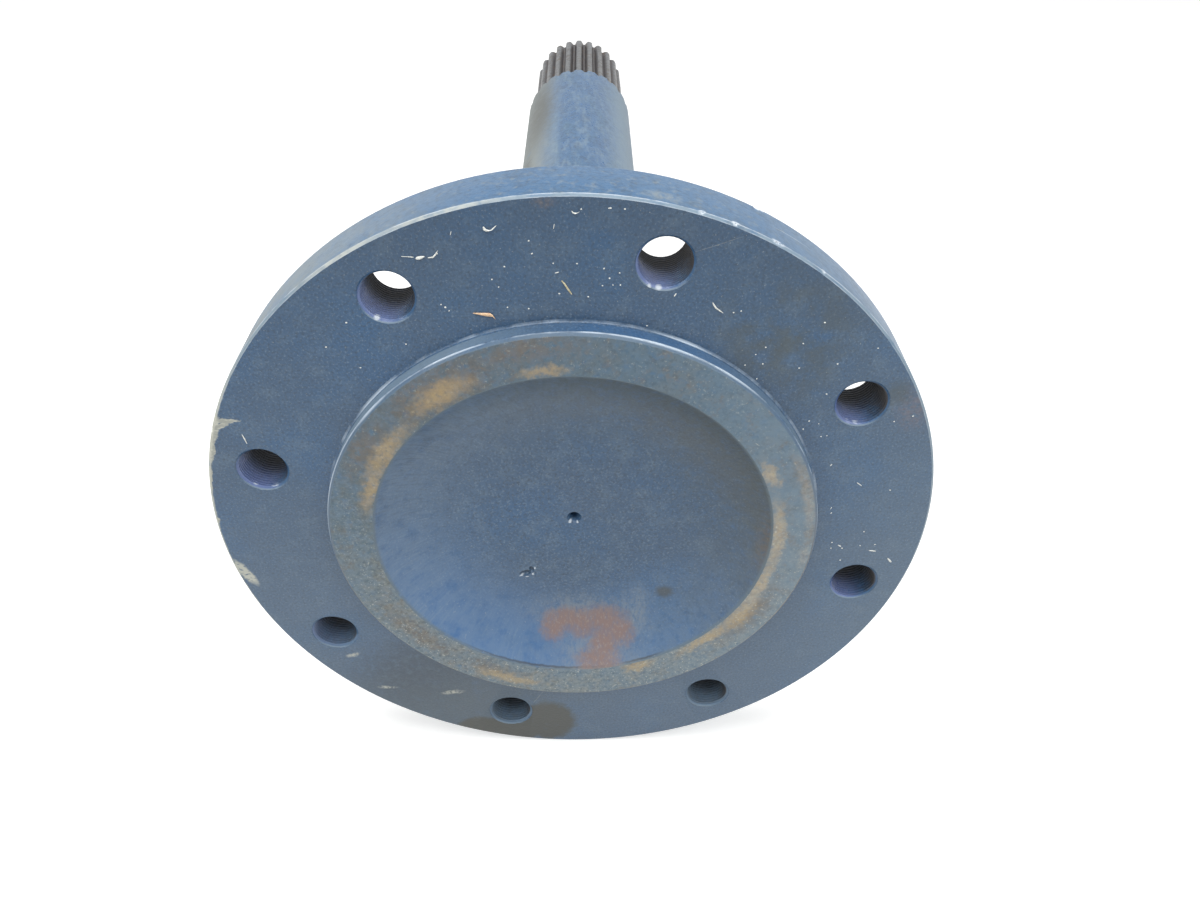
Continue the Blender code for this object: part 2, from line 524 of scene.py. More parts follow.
    def spots(self, lay: Lay, ragged: float, soft: float, *marks: Row, **shared: float) -> Mask:
        """Mask all of some marks.

        Args:
            lay: How their places are given.
            ragged: How far their edges wander.
            soft: Share of a mark over which it fades out.
            marks: What each Mark holds, in its order.
            shared: Depth and half depth, where they all have the same.

        Returns:
            The mask.
        """
        place = self.warp(lay, ragged)
        total = None
        for row in marks:
            mark = Mark(*row, **shared)
            oval = {
                "Vector": place,
                "Location": (mark.along, mark.depth, mark.up),
                "Rotation": (0.0, -math.radians(mark.turn), 0.0),
                "Scale": (mark.half_along, mark.half_depth, mark.half_up),
            }
            spot = self.wire("Mapping", oval, vector_type="TEXTURE")
            away = self.wire("VectorMath", {0: spot}, out="Value", operation="LENGTH")
            inside = self.ramp(away, 1.0 + soft, 1.0 - soft)
            if total is None:
                total = inside
            else:
                total = self.wire("Math", {0: total, 1: inside}, operation="MAXIMUM")
        return total

    def overlap(self, masks: tuple[Mask, ...], amount: float) -> Mask | float:
        """Multiply masks and an amount into one."""
        total = amount
        for mask in masks:
            total = self.wire("Math", {0: mask, 1: total}, operation="MULTIPLY")
        return total

    def lay(self, *rows: tuple) -> None:
        """Lay coats, each over what is there, where all of its masks agree.

        Args:
            rows: For each its coat, how thickly it lies, up to 1, and its masks. Numbers
                in brackets are a mottle's size, low, high, seed, detail and stretch.
        """
        for coat, amount, *masks in rows:
            masks = [self.mottle(*mask) if isinstance(mask, tuple) else mask for mask in masks]
            share = self.overlap(masks, amount)
            colours = {0: share, 6: self.colour, 7: linear(coat.colour)}
            self.colour = self.wire("Mix", colours, out=2, data_type="RGBA", label=coat.label)
            self.roughness = self.wire("Mix", {0: share, 2: self.roughness, 3: coat.roughness})
            if coat.metallic != self.metallic:
                self.metallic = self.wire("Mix", {0: share, 2: self.metallic, 3: coat.metallic})

    def emboss(self, height: float, *masks: Mask) -> None:
        """Raise or sink the surface in bump, where all the masks agree.

        Args:
            height: How far.
            masks: Where.
        """
        lift = self.overlap(masks, height * MM)
        if self.height != 0.0:
            lift = self.wire("Math", {0: lift, 1: self.height}, operation="ADD")
        self.height = lift

    def finish(self, suffix: str = "") -> bpy.types.Material:
        """Join the coats to a shader.

        Args:
            suffix: What is added to the material's name.

        Returns:
            The material.
        """
        self.material.name += suffix
        values = {"Base Color": self.colour, "Roughness": self.roughness, "Metallic": self.metallic}
        if self.height != 0.0:
            values["Normal"] = self.wire("Bump", {"Height": self.height, "Distance": 1.0})
        shader = self.wire("BsdfPrincipled", values)
        add_node(self.tree, "ShaderNodeOutputMaterial", {"Surface": shader})
        return self.material


# The layers of the finishes, from paint to soil, rust and bare metal, and the painted light,
# shade and glints that some of them also lay. A low roughness gives the eye a sheen, a high one
# a dusty, dead surface.
ENAMEL = Coat("slate blue enamel", "#3B5876", 0.3)
ENAMEL_DEEP = Coat("thick enamel", "#265D8C", 0.26)
# Also laid as painted light, where the dish and the ring's wall face the lamps.
CLEAN_ENAMEL_AND_PAINTED_LIGHT = Coat("clean blue enamel", "#3F6CA0", 0.3)
ENAMEL_SEA = Coat("weathered, greener enamel", "#44708E", 0.32)
ENAMEL_VIOLET = Coat("enamel lit from the sky", "#7382B4", 0.18)
# Also laid as painted light on the lower part of the wheel face.
THIN_ENAMEL_AND_PAINTED_LIGHT = Coat("thin, chalky enamel", "#64788A", 0.5)
# Also laid as painted light: low and left in the dish, on the holes' lower walls and on the face's
# right.
CHALK_AND_PAINTED_LIGHT = Coat("chalked enamel", "#8799A6", 0.6)
GREY_FILM = Coat("rubbed enamel over steel", "#64737C", 0.5)
DUST = Coat("dry dust", "#979B96", 0.75)
# A painted highlight: pale, glossy colour laid where the lamps glint on the ring's edges.
PAINTED_EDGE_HIGHLIGHT = Coat("burnished edge", "#CBDAE8", 0.14)
# Also laid as painted shade high on the wheel face and in the upper dish.
GRIME_AND_PAINTED_SHADE = Coat("fine grime", "#2F3A46", 0.5)
# Also laid as painted shade under the dish's upper edge.
OIL_FILM_AND_PAINTED_SHADE = Coat("dried oil and soil", "#4B4F46", 0.45)
DAMP_STAIN = Coat("dark oil stain", "#43453F", 0.4)
RUST_BRIGHT = Coat("bright rust", "#C9AD7B", 0.85)
RUST_BROWN = Coat("brown rust", "#7C6B58", 0.85)
PRIMER = Coat("red-brown primer", "#87726C", 0.6)
# Also laid as painted glints on the ring's inner edge.
CREAM = Coat("bare primer and chalk", "#C9CABE", 0.7)
# Also laid as painted glints at the dent, the centre hole and the holes' mouths, and as painted
# highlight along the rim's edges.
WHITE_WEAR_AND_PAINTED_GLINTS = Coat("knocked, whitened paint", "#D3DCE4", 0.5)
BARE_STEEL = Coat("bare steel", "#7E8285", 0.36, 0.85)
STEEL_DARK = Coat("oil-darkened steel", "#403D40", 0.42, 0.5)
# Also laid as painted shade on the holes' upper walls, deep inside them and in the dent's pits.
HOLE_SOIL_AND_PAINTED_SHADE = Coat("soil and old oil in the threads", "#2A2522", 0.5)


@dataclass(frozen=True)
class Enamel:
    """Alkyd machine enamel, sprayed over turned steel and worn in a yard.

    It is slate blue with a low, slightly uneven gloss, mottled where it dried thick or thin.
    """

    name: str = "worn_sprayed_machine_enamel"

    def ground(self) -> Sheet:
        """Lay the paint itself, before any wear."""
        sheet = Sheet(self.name, ENAMEL)
        sheet.lay(
            (ENAMEL_DEEP, 0.45, (45, 0.42, 0.7, 1)),
            (THIN_ENAMEL_AND_PAINTED_LIGHT, 0.4, (9, 0.45, 0.75, 2)),
            # The dust in the paint is finer than a pixel, so it is drawn at about 1 mm.
            (GRIME_AND_PAINTED_SHADE, 0.6, (1.2, 0.45, 0.7, 3)),
            (CHALK_AND_PAINTED_LIGHT, 0.45, (1, 0.5, 0.75, 5)),
        )
        # So is the orange peel of the spray.
        sheet.emboss(0.06, sheet.mottle(1.4, 0.2, 0.8, 4.0))
        return sheet


def dress_shaft(sheet: Sheet) -> None:
    """Lay the wear that runs along the shaft: rubbed grey on its left, chalked on its right."""
    along = sheet.over(sheet.y, 100, 41)
    rubbed = sheet.spots(Lay.FLAT, 5, 0.7, (-38, 10, 16, 60), depth=400, half_depth=400)
    smears = sheet.spots(
        Lay.FLAT, 6, 0.8, (-30, 28, 11, 17, 0, 452, 60), (-38, 18, 5, 10, 0, 350, 24),
    )
    right = sheet.spots(Lay.FLAT, 5, 0.7, (38, 10, 13, 60), depth=400, half_depth=400)
    seam = sheet.spots(Lay.FLAT, 2, 0.8, (-17, 40, 3.5, 20), depth=330, half_depth=110)
    sheet.lay(
        (ENAMEL_SEA, 0.65, along),
        (ENAMEL_DEEP, 0.85, along, (18, 0.25, 0.55, 63, 3, (1, 3, 1))),
        (GRIME_AND_PAINTED_SHADE, 0.45, along, (2.6, 0.42, 0.68, 64, 5)),
        (DAMP_STAIN, 0.3, along, (9, 0.5, 0.75, 11, 5, (1, 2.5, 1))),
        (CHALK_AND_PAINTED_LIGHT, 0.5, along, (3.5, 0.45, 0.7, 12, 5, (1, 3, 1))),
        (CHALK_AND_PAINTED_LIGHT, 0.5, along, rubbed),
        (DUST, 0.8, along, rubbed, (9, 0.05, 0.45, 13, 5)),
        (DAMP_STAIN, 0.75, smears, (6, 0.1, 0.5, 65)),
        (CHALK_AND_PAINTED_LIGHT, 0.8, along, right, (7, 0.1, 0.5, 66, 5)),
        (CHALK_AND_PAINTED_LIGHT, 0.3, seam),
    )


@dataclass(frozen=True)
class FlangeEnamel(Enamel):
    """The enamel of the flange, with the rust, stains and chips of the wheel side."""

    name: str = "worn_enamel_of_flange"

    def make(self, flange: "Flange", region: Region) -> bpy.types.Material:
        """Lay paint, dirt, rust and chips from the ground up.

        Args:
            flange: The flange, whose sizes place the wear.
            region: Which part of it.

        Returns:
            The material.
        """
        sheet = self.ground()
        layers = {
            Region.FACE: self.dress_face,
            Region.RIM: self.dress_rim,
            Region.RING: self.dress_ring,
            Region.DISH: self.dress_recess,
            Region.HOLE: self.dress_holes,
        }
        layers[region](sheet, flange)
        return sheet.finish(f"_{region.name.lower()}")

    def dress_recess(self, sheet: Sheet, flange: "Flange") -> None:
        """Clean blue and chalk low and left in the dish as painted light, a soil film with painted
        shade under its upper edge, a primer patch, and painted shade and glints at a dent and the
        centre hole.
        """
        outward = sheet.over(sheet.radius, 62, 30)
        low = sheet.under(sheet.z, -28, 50)
        left = sheet.under(sheet.x, -5, 75)
        brushed = sheet.streaks(0.8, 10, 0.4, 0.75, 31)
        edge = sheet.over(sheet.radius, 80, 12)
        film = sheet.spots(Lay.ROUND, 6, 0.85, (52, 89, 85, 34), half_depth=30)
        strokes = sheet.streaks(1.2, 6, 0.45, 0.7, 79)
        tinge = sheet.spots(Lay.ROUND, 3, 0.8, (-2, 87, 9, 3.6), half_depth=30)
        lip = sheet.over(sheet.radius, flange.recess_radius / MM - 0.9, 0.7)
        # A dark line just inside the dish's lower edge.
        groove = sheet.spots(
            Lay.ROUND, 0.5, 0.6, (-100, 87.7, 22, 0.4), (-68, 87.7, 6, 0.4), half_depth=30,
        )
        brushed_up = sheet.mottle(1.3, 0.25, 0.6, 16, detail=4, stretch=(1, 1, 3.5))
        faint = sheet.spots(
            Lay.FLAT, 5, 0.9, (2, -60, 20, 8), (29, -60, 7, 12), (10, -82, 18, 9), half_depth=30,
        )
        rough = sheet.spots(
            Lay.FLAT, 4.5, 0.75, (-5, -65.5, 9, 5.4), (-10.5, -69, 5.4, 5.6), (3.5, -67.5, 7, 6),
            (14, -65.5, 9.5, 6.5), (21.5, -70, 6.5, 6), (14.5, -77, 6, 8), (11.5, -84.5, 9, 4.5),
            half_depth=30,
        )
        smudge = sheet.spots(Lay.FLAT, 1.5, 0.5, (43.5, -46.6, 4.4, 2.8, 20), half_depth=30)
        # Painted shade in the pits of the dent.
        pits = sheet.spots(
            Lay.FLAT, 0.4, 0.5, (-23.8, -35.4, 2.6, 1.2, 20), (-20.6, -33, 0.9, 1.5, 15),
            half_depth=30,
        )
        # Painted glints on the dent's lower lips and on the centre hole's lower lip.
        glints = sheet.spots(
            Lay.FLAT, 0.3, 0.4, (-25.6, -37.6, 1.2, 0.35, 20), (-22.8, -38.3, 0.8, 0.3),
            (-20, -36.6, 0.5, 0.7), (-19, -32.6, 0.35, 0.8), (-1.9, -2.6, 0.8, 0.7, 30),
            (1.5, -2.9, 0.45, 0.5), half_depth=30,
        )
        flecks = sheet.mottle(0.9, 0.66, 0.74, 34, detail=1)
        sheet.lay(
            # Painted light: the lower and left part of the dish faces the lamps, so clean blue and
            # chalk are laid there.
            (CLEAN_ENAMEL_AND_PAINTED_LIGHT, 0.55, outward, low, (10, 0.1, 0.6, 27)),
            (CLEAN_ENAMEL_AND_PAINTED_LIGHT, 0.6, outward, low, left),
            (CHALK_AND_PAINTED_LIGHT, 0.48, outward, left, (6, 0.2, 0.6, 28)),
            (CLEAN_ENAMEL_AND_PAINTED_LIGHT, 0.3, outward, left),
            (CHALK_AND_PAINTED_LIGHT, 0.28, outward, left, brushed, (12, 0.35, 0.65, 51)),
            # Painted shade and a soil film under the dish's upper edge, which faces away from the
            # lamps.
            (OIL_FILM_AND_PAINTED_SHADE, 0.6, film, (3.5, 0.15, 0.6, 29)),
            (
                OIL_FILM_AND_PAINTED_SHADE, 0.55, edge, sheet.over(sheet.z, -20, 40), sheet.over(sheet.x, -30, 50),
                sheet.streaks(1.6, 5, 0.3, 0.65, 32),
            ),
            # More painted light low and to the right in the dish, then painted shade in its upper,
            # outer part.
            (CHALK_AND_PAINTED_LIGHT, 0.26, outward, low, sheet.over(sheet.x, 10, 40), (4, 0.2, 0.6, 67)),
            (GRIME_AND_PAINTED_SHADE, 0.25, sheet.over(sheet.radius, 66, 14), sheet.over(sheet.z, 0, 60), strokes),
            (RUST_BROWN, 0.45, tinge, (2, 0.3, 0.6, 68)),
            (GREY_FILM, 0.85, lip, (4, 0.2, 0.5, 30)),
            (HOLE_SOIL_AND_PAINTED_SHADE, 0.6, groove),
            (DUST, 0.45, faint, brushed_up, (5, 0.2, 0.6, 53)),
            (PRIMER, 0.68, rough),
            (PRIMER, 0.85, brushed_up, rough),
            (CREAM, 0.22, rough, (1, 0.5, 0.75, 69, 4, (1, 1, 3))),
            (DAMP_STAIN, 0.7, smudge),
            (HOLE_SOIL_AND_PAINTED_SHADE, 0.45, pits),
            (WHITE_WEAR_AND_PAINTED_GLINTS, 0.9, glints),
            (CREAM, 0.12, flecks, sheet.under(sheet.z, 30, 60)),
        )

    def dress_ring(self, sheet: Sheet, flange: "Flange") -> None:
        """Enamel rubbed thin on the pilot ring, with rust along its inner half, painted highlights
        along its edges and painted glints on its inner edge.
        """
        top = sheet.under(sheet.radius, flange.pilot_radius / MM - 1.1, 0.5)
        left = sheet.under(sheet.x, 10, 90)
        low = sheet.under(sheet.z, -10, 70)
        right = sheet.over(sheet.x, 75, 50)
        old = sheet.spots(
            Lay.ROUND, 4.5, 0.8, (122, 98, 16, 11), (100, 102, 14, 6), (148, 101, 10, 7),
            (18, 104.6, 10, 3), (2, 104.6, 3, 2.4), (-30, 97, 14, 6), (-141, 97, 14, 6),
            (-116, 96, 8, 4.5), half_depth=9,
        )
        patchy = sheet.mottle(2.4, 0.3, 0.55, 8)
        fresh = sheet.spots(
            Lay.ROUND, 4.6, 0.7, (147, 92.5, 12, 4.8), (160, 91.5, 9, 3.6), (123, 95.5, 9, 5.6),
            (97, 91.5, 6, 3.2), (24.5, 91.8, 5, 3.4), (2, 91.2, 13, 3.4), (-18, 90.8, 12, 3),
            (-31, 93, 9, 5), (-46, 91.5, 10, 3.4), (-110, 100.5, 10, 3.6), (-70, 91.6, 5, 3.4),
            half_depth=9,
        )
        grainy = sheet.mottle(2, 0.12, 0.55, 19, detail=5)
        broken = sheet.spots(
            Lay.ROUND, 2.5, 0.8, (24.5, 91.8, 4, 3), (2, 91.2, 12, 3), (14, 104.6, 12, 2.4),
            (-5, 104.6, 5, 2), (-22, 91.5, 12, 3.2), half_depth=9,
        )
        rim_line = sheet.spots(Lay.ROUND, 0.5, 0.5, (-80, 107.3, 110, 0.9), half_depth=9)
        upper = sheet.over(sheet.z, 0, 50)
        slope = sheet.band(
            sheet.radius, flange.pilot_radius / MM - 1.3, flange.pilot_radius / MM - 0.1, 0.1,
        )
        corner = sheet.band(sheet.y, -7.35, -6.85, 0.12)
        wall = sheet.band(sheet.y, -6.7, -1.2, 0.4)
        root = sheet.over(sheet.y, -0.55, 0.15)
        # Painted glints at single bearings on the ring's chamfer edge and root fillet.
        painted_edge_glints = sheet.spots(
            Lay.ROUND, 0.3, 0.8, (139, 108, 5, 3, 0, -7.1, 0.5), (116, 108, 5, 3, 0, -7.1, 0.3),
            (70, 108, 8, 3, 0, -7.1, 0.4), (54, 108, 6, 3, 0, -7.1, 0.4),
            (162, 108, 19, 3, 0, -7.1, 0.3), (138, 108.6, 6, 3, 0, -0.4, 0.3),
            (66, 108.6, 5, 3, 0, -0.4, 0.35),
        )
        # The first three are painted glints on the ring's inner edge; the rest are pale specks.
        specks = sheet.spots(
            Lay.FLAT, 0.25, 0.3, (89.6, 5.7, 0.8, 1.1), (89.6, 8.6, 0.7, 1), (89.5, -1.7, 0.8, 0.9),
            (-46.6, -80.9, 0.5, 0.4), (26.3, -96.1, 0.4, 0.5), (20.4, -100.8, 1.5, 0.7, 30),
            (76, 55, 1.9, 0.3, -37), half_depth=9,
        )
        sheet.lay(
            (GREY_FILM, 0.85, top, (6, 0.15, 0.5, 6)),
            (OIL_FILM_AND_PAINTED_SHADE, 0.7, top, left, (3, 0.35, 0.6, 17)),
            (GRIME_AND_PAINTED_SHADE, 0.42, top, (1.8, 0.48, 0.66, 52)),
            (ENAMEL_DEEP, 0.35, top, (4, 0.52, 0.7, 35)),
            (DUST, 0.7, top, low, (2, 0.3, 0.6, 18)),
            (CHALK_AND_PAINTED_LIGHT, 0.06, top),
            (ENAMEL_SEA, 0.35, top, (9, 0.3, 0.6, 59)),
            (CHALK_AND_PAINTED_LIGHT, 0.5, top, right, (5, 0.2, 0.6, 36)),
            (RUST_BROWN, 0.35, top, (5, 0.5, 0.7, 7), (1.3, 0.3, 0.6, 37)),
            (CREAM, 0.4, top, (1.2, 0.55, 0.72, 70, 4), (8, 0.35, 0.6, 71)),
            (RUST_BROWN, 0.85, top, patchy, old),
            (RUST_BRIGHT, 1, top, grainy, fresh),
            (GRIME_AND_PAINTED_SHADE, 0.18, top, left, (1.3, 0.45, 0.7, 76, 5)),
            (CREAM, 0.6, top, (1.5, 0.2, 0.6, 72), broken),
            (PRIMER, 0.5, top, (1.8, 0.35, 0.65, 80, 5), broken),
            (GREY_FILM, 0.6, top, (3, 0.45, 0.65, 81, 5), broken),
            (CREAM, 0.6, top, low, (0.9, 0.62, 0.72, 38, 1)),
            (RUST_BRIGHT, 0.8, rim_line, (4, 0.25, 0.55, 20)),
            (GREY_FILM, 0.7, slope, upper, (14, 0.2, 0.6, 39)),
            (ENAMEL_DEEP, 0.25, slope, upper),
            # Painted highlights along the chamfer's edge on the upper, lit half.
            (PAINTED_EDGE_HIGHLIGHT, 0.6, corner, upper, (9, 0.35, 0.7, 21)),
            (CHALK_AND_PAINTED_LIGHT, 0.55, wall, sheet.under(sheet.z, 85, 30), (20, 0.1, 0.6, 54)),
            (CHALK_AND_PAINTED_LIGHT, 0.5, wall, sheet.under(sheet.x, -25, 30)),
            (CLEAN_ENAMEL_AND_PAINTED_LIGHT, 0.3, wall, sheet.over(sheet.x, 0, 30), sheet.over(sheet.z, 85, 30)),
            # Painted highlights along the root fillet, and at single bearings.
            (PAINTED_EDGE_HIGHLIGHT, 0.35, root, (12, 0.4, 0.7, 40), upper),
            (PAINTED_EDGE_HIGHLIGHT, 0.7, painted_edge_glints),
            (CREAM, 0.9, specks),
        )

    def dress_face(self, sheet: Sheet, flange: "Flange") -> None:
        """Stains on the flat face, painted light low and to the right on it and painted shade high
        on it, and bare edges and chips at the rim.
        """
        low = sheet.under(sheet.z, 0, 110)
        high = sheet.over(sheet.z, 125, 35)
        right = sheet.over(sheet.x, 130, 45)
        soil = sheet.spots(Lay.FLAT, 8, 0.8, (-70, -125, 50, 32))
        dirty = sheet.spots(Lay.FLAT, 6, 0.8, (-86, -98, 26, 22))
        stain = sheet.spots(
            Lay.FLAT, 3, 0.18, (-15, -142, 14.5, 16), (-50, -147.5, 14, 9), (-33, -151, 14, 8),
        )
        dim = sheet.spots(Lay.FLAT, 8, 0.8, (84, 99, 24, 26))
        edge = sheet.spots(Lay.FLAT, 4, 0.9, (140.5, 67, 6, 9, 10))
        smears = sheet.spots(
            Lay.FLAT, 1.5, 0.6, (-112.3, -86.9, 3, 1.2, 20), (-64.4, -116.9, 5, 1.4, 10),
            (-98.2, -112.7, 4, 1),
        )
        scratch = sheet.spots(
            Lay.FLAT, 0.2, 0.5, (53.5, 140.7, 8, 0.16, 20), (-20, -122, 6, 0.2, 60),
        )
        flecks = sheet.mottle(1.1, 0.68, 0.76, 45, detail=1)
        sheet.lay(
            # Painted light and shade: the face is laid lighter low and to the right and darker high
            # up.
            (THIN_ENAMEL_AND_PAINTED_LIGHT, 0.3, low),
            (GRIME_AND_PAINTED_SHADE, 0.25, high),
            (CHALK_AND_PAINTED_LIGHT, 0.16, right),
            (OIL_FILM_AND_PAINTED_SHADE, 0.45, soil, (7, 0.1, 0.5, 41)),
            (GRIME_AND_PAINTED_SHADE, 0.5, dirty, (3, 0.2, 0.6, 78)),
            (DAMP_STAIN, 0.94, stain, (3, -0.1, 0.45, 42)),
            (OIL_FILM_AND_PAINTED_SHADE, 0.6, dim, (14, 0.35, 0.6, 22, 4)),
            (PRIMER, 0.4, edge, (2.5, 0.3, 0.65, 55)),
            (OIL_FILM_AND_PAINTED_SHADE, 0.45, sheet.spots(Lay.FLAT, 4, 0.7, (132, 75, 5, 5))),
            (
                RUST_BROWN, 0.45, sheet.spots(Lay.FLAT, 2, 0.9, (-9.5, 156.8, 3.4, 1.8)),
                (1.5, 0.3, 0.7, 43),
            ),
            (CREAM, 0.75, (1.5, 0.3, 0.6, 23), smears),
            (DUST, 0.5, scratch, (2, 0.3, 0.6, 44)),
            (CREAM, 0.25, flecks, sheet.over(sheet.z, 60, 60)),
            (RUST_BROWN, 0.3, flecks, low),
        )
        self.chip(sheet)

    def dress_rim(self, sheet: Sheet, flange: "Flange") -> None:
        """Whitened lines along the front edge of the rim, worn paint and painted highlight, and
        paint knocked off it.
        """
        flange_only = sheet.under(sheet.y, 42, 12)
        sides = sheet.under(sheet.z, 90, 70)
        left = sheet.under(sheet.x, -70, 60)
        turned = sheet.streaks(40, 0.5, 0.4, 0.7, 47)
        worn = sheet.mottle(7, 0.3, 0.6, 9)
        near = sheet.band(sheet.y, -1, 0.22, 0.1)
        broken = sheet.band(sheet.y, 0.05, 1, 0.1)
        outer = sheet.band(sheet.y, 0.85, 1.2, 0.1)
        back = sheet.band(sheet.y, flange.thickness / MM - 1.2, flange.thickness / MM - 0.8, 0.1)
        knocks = sheet.spots(
            Lay.ROUND, 0.6, 0.4, (73, 160, 0.4, 2, 0, 1.2, 1), (68.3, 160, 0.5, 2, 0, 1.2, 1),
            (61.8, 160, 0.9, 1.6, 0, 1.4, 1), (54, 160, 0.4, 1.6, 0, 1.2, 0.9),
            (63.5, 160, 0.8, 3, 0, 25, 1.6),
        )
        chalky = sheet.spots(
            Lay.ROUND, 1, 0.6, (107, 160, 8, 2, 0, 0.5, 0.9), (122, 160, 6, 2, 0, 0.5, 0.8),
        )
        dulled = sheet.spots(Lay.ROUND, 2, 0.8, (78, 160, 2.5, 4), depth=6)
        scratch = sheet.spots(
            Lay.ROUND, 0.3, 0.5, (58.6, 160, 2.8, 6, 0, 14.5, 0.3), (90, 160, 2.5, 6, 0, 25.2, 0.3),
        )
        sheet.lay(
            (ENAMEL_SEA, 0.45, flange_only),
            (ENAMEL_DEEP, 0.55, flange_only, sheet.over(sheet.z, 60, 60)),
            (GRIME_AND_PAINTED_SHADE, 0.4, flange_only, (2.5, 0.45, 0.7, 56, 5)),
            (OIL_FILM_AND_PAINTED_SHADE, 0.3, flange_only, (8, 0.45, 0.75, 62, 5)),
            (DUST, 0.4, flange_only, (3, 0.5, 0.72, 57, 5)),
            (CHALK_AND_PAINTED_LIGHT, 0.5, flange_only, sides, (22, 0.3, 0.6, 24)),
            (DUST, 0.6, flange_only, left, (10, 0.2, 0.6, 46)),
            (CHALK_AND_PAINTED_LIGHT, 0.25, flange_only, turned),
            # The whitened lines along the rim's edges are partly worn paint and partly painted
            # highlight where the lamps catch the rounded edges.
            (WHITE_WEAR_AND_PAINTED_GLINTS, 0.6, near, worn),
            (CHALK_AND_PAINTED_LIGHT, 0.75, broken, (12, 0.2, 0.55, 75)),
            (WHITE_WEAR_AND_PAINTED_GLINTS, 0.6, outer, (9, 0.35, 0.6, 48)),
            (WHITE_WEAR_AND_PAINTED_GLINTS, 0.5, back, (9, 0.45, 0.65, 49)),
            (CREAM, 0.6, chalky, (5, 0.2, 0.6, 73)),
            (DUST, 0.5, dulled, (2, 0.3, 0.6, 74)),
            (WHITE_WEAR_AND_PAINTED_GLINTS, 0.75, (1.2, 0.35, 0.55, 25), knocks),
            (WHITE_WEAR_AND_PAINTED_GLINTS, 0.35, scratch),
        )
        self.chip(sheet)

    def chip(self, sheet: Sheet) -> None:
        """Flake the paint off the left edge, down to the primer."""
        bare = sheet.spots(
            Lay.FLAT, 1.7, 0.2, (-144, 60.6, 6.6, 1.2, 2, 0, 4), (-145, 58, 4, 1, 30, 0, 4),
            (-149.4, 55.5, 8.5, 2.3, 70, 0, 7), (-152.6, 45, 6, 1.6, 74, 0, 7),
            (-156.7, 30, 6, 1.2, 80, 0, 4), (-159.4, 5.6, 1.6, 1.4, 0, 0, 4),
        )
        flaked = sheet.spots(Lay.FLAT, 1.6, 0.3, (-153.8, -27.5, 8.5, 2.6, -64), half_depth=5)
        layered = sheet.mottle(1.7, 0.4, 0.55, 26, stretch=(2.5, 1, 1))
        pale = sheet.spots(
            Lay.ROUND, 0.7, 0.35, (168, 160, 20, 1.4, 0, 0, 2.4), (-170, 160, 20, 1.1, 0, 0, 2.4),
            (-140, 160, 20, 0.7, 0, 0, 2),
        )
        sheet.lay(
            (CREAM, 0.95, bare),
            (DUST, 0.75, bare, layered),
            (CREAM, 0.9, flaked, (1.4, 0.3, 0.5, 77, 3, (1.6, 1, 1))),
            (CREAM, 0.75, pale, (5, 0.2, 0.5, 58)),
        )
        sheet.emboss(-0.12, bare)
        sheet.emboss(-0.08, layered, flaked)

    def dress_holes(self, sheet: Sheet, flange: "Flange") -> None:
        """Soil and old oil with painted shade on the upper walls of the tapped holes and deep
        inside them, and painted light and glints on their lower walls.

        Every place is measured from the axis of the hole that it is nearest to.
        """
        pitch = 360.0 / flange.bolt_count
        start = math.degrees(flange.bolt_bearing) - pitch / 2.0
        shifted = sheet.wire("Math", {0: sheet.bearing, 1: start}, operation="SUBTRACT")
        folded = sheet.wire("Math", {0: shifted, 1: pitch}, operation="FLOORED_MODULO")
        turn = sheet.wire("Math", {0: folded, 1: pitch / 2.0}, operation="SUBTRACT")
        hole = sheet.wire("Math", {0: sheet.bearing, 1: turn}, operation="SUBTRACT")
        angle = sheet.wire("Math", {0: hole}, operation="RADIANS")
        spot = {1: sheet.y}
        for slot, wave in ((0, "COSINE"), (2, "SINE")):
            ratio = sheet.wire("Math", {0: angle}, operation=wave)
            spot[slot] = sheet.wire("Math", {0: ratio, 1: flange.bolt_circle}, operation="MULTIPLY")
        centre = sheet.wire("CombineXYZ", spot)
        offset = sheet.wire("VectorMath", {0: sheet.place, 1: centre}, operation="SUBTRACT")
        away = sheet.wire("VectorMath", {0: offset}, out="Value", operation="LENGTH")
        raised = sheet.toward(offset, (0.6, 0.0, 0.8))
        wall = sheet.under(away, flange.thread_major / MM + 0.1, 0.15)
        inside = sheet.over(sheet.y, 1.2, 0.3)
        low_left = sheet.toward(offset, (-0.75, 0.0, -0.66))
        shining = sheet.over(low_left, 4.5, 5.5)
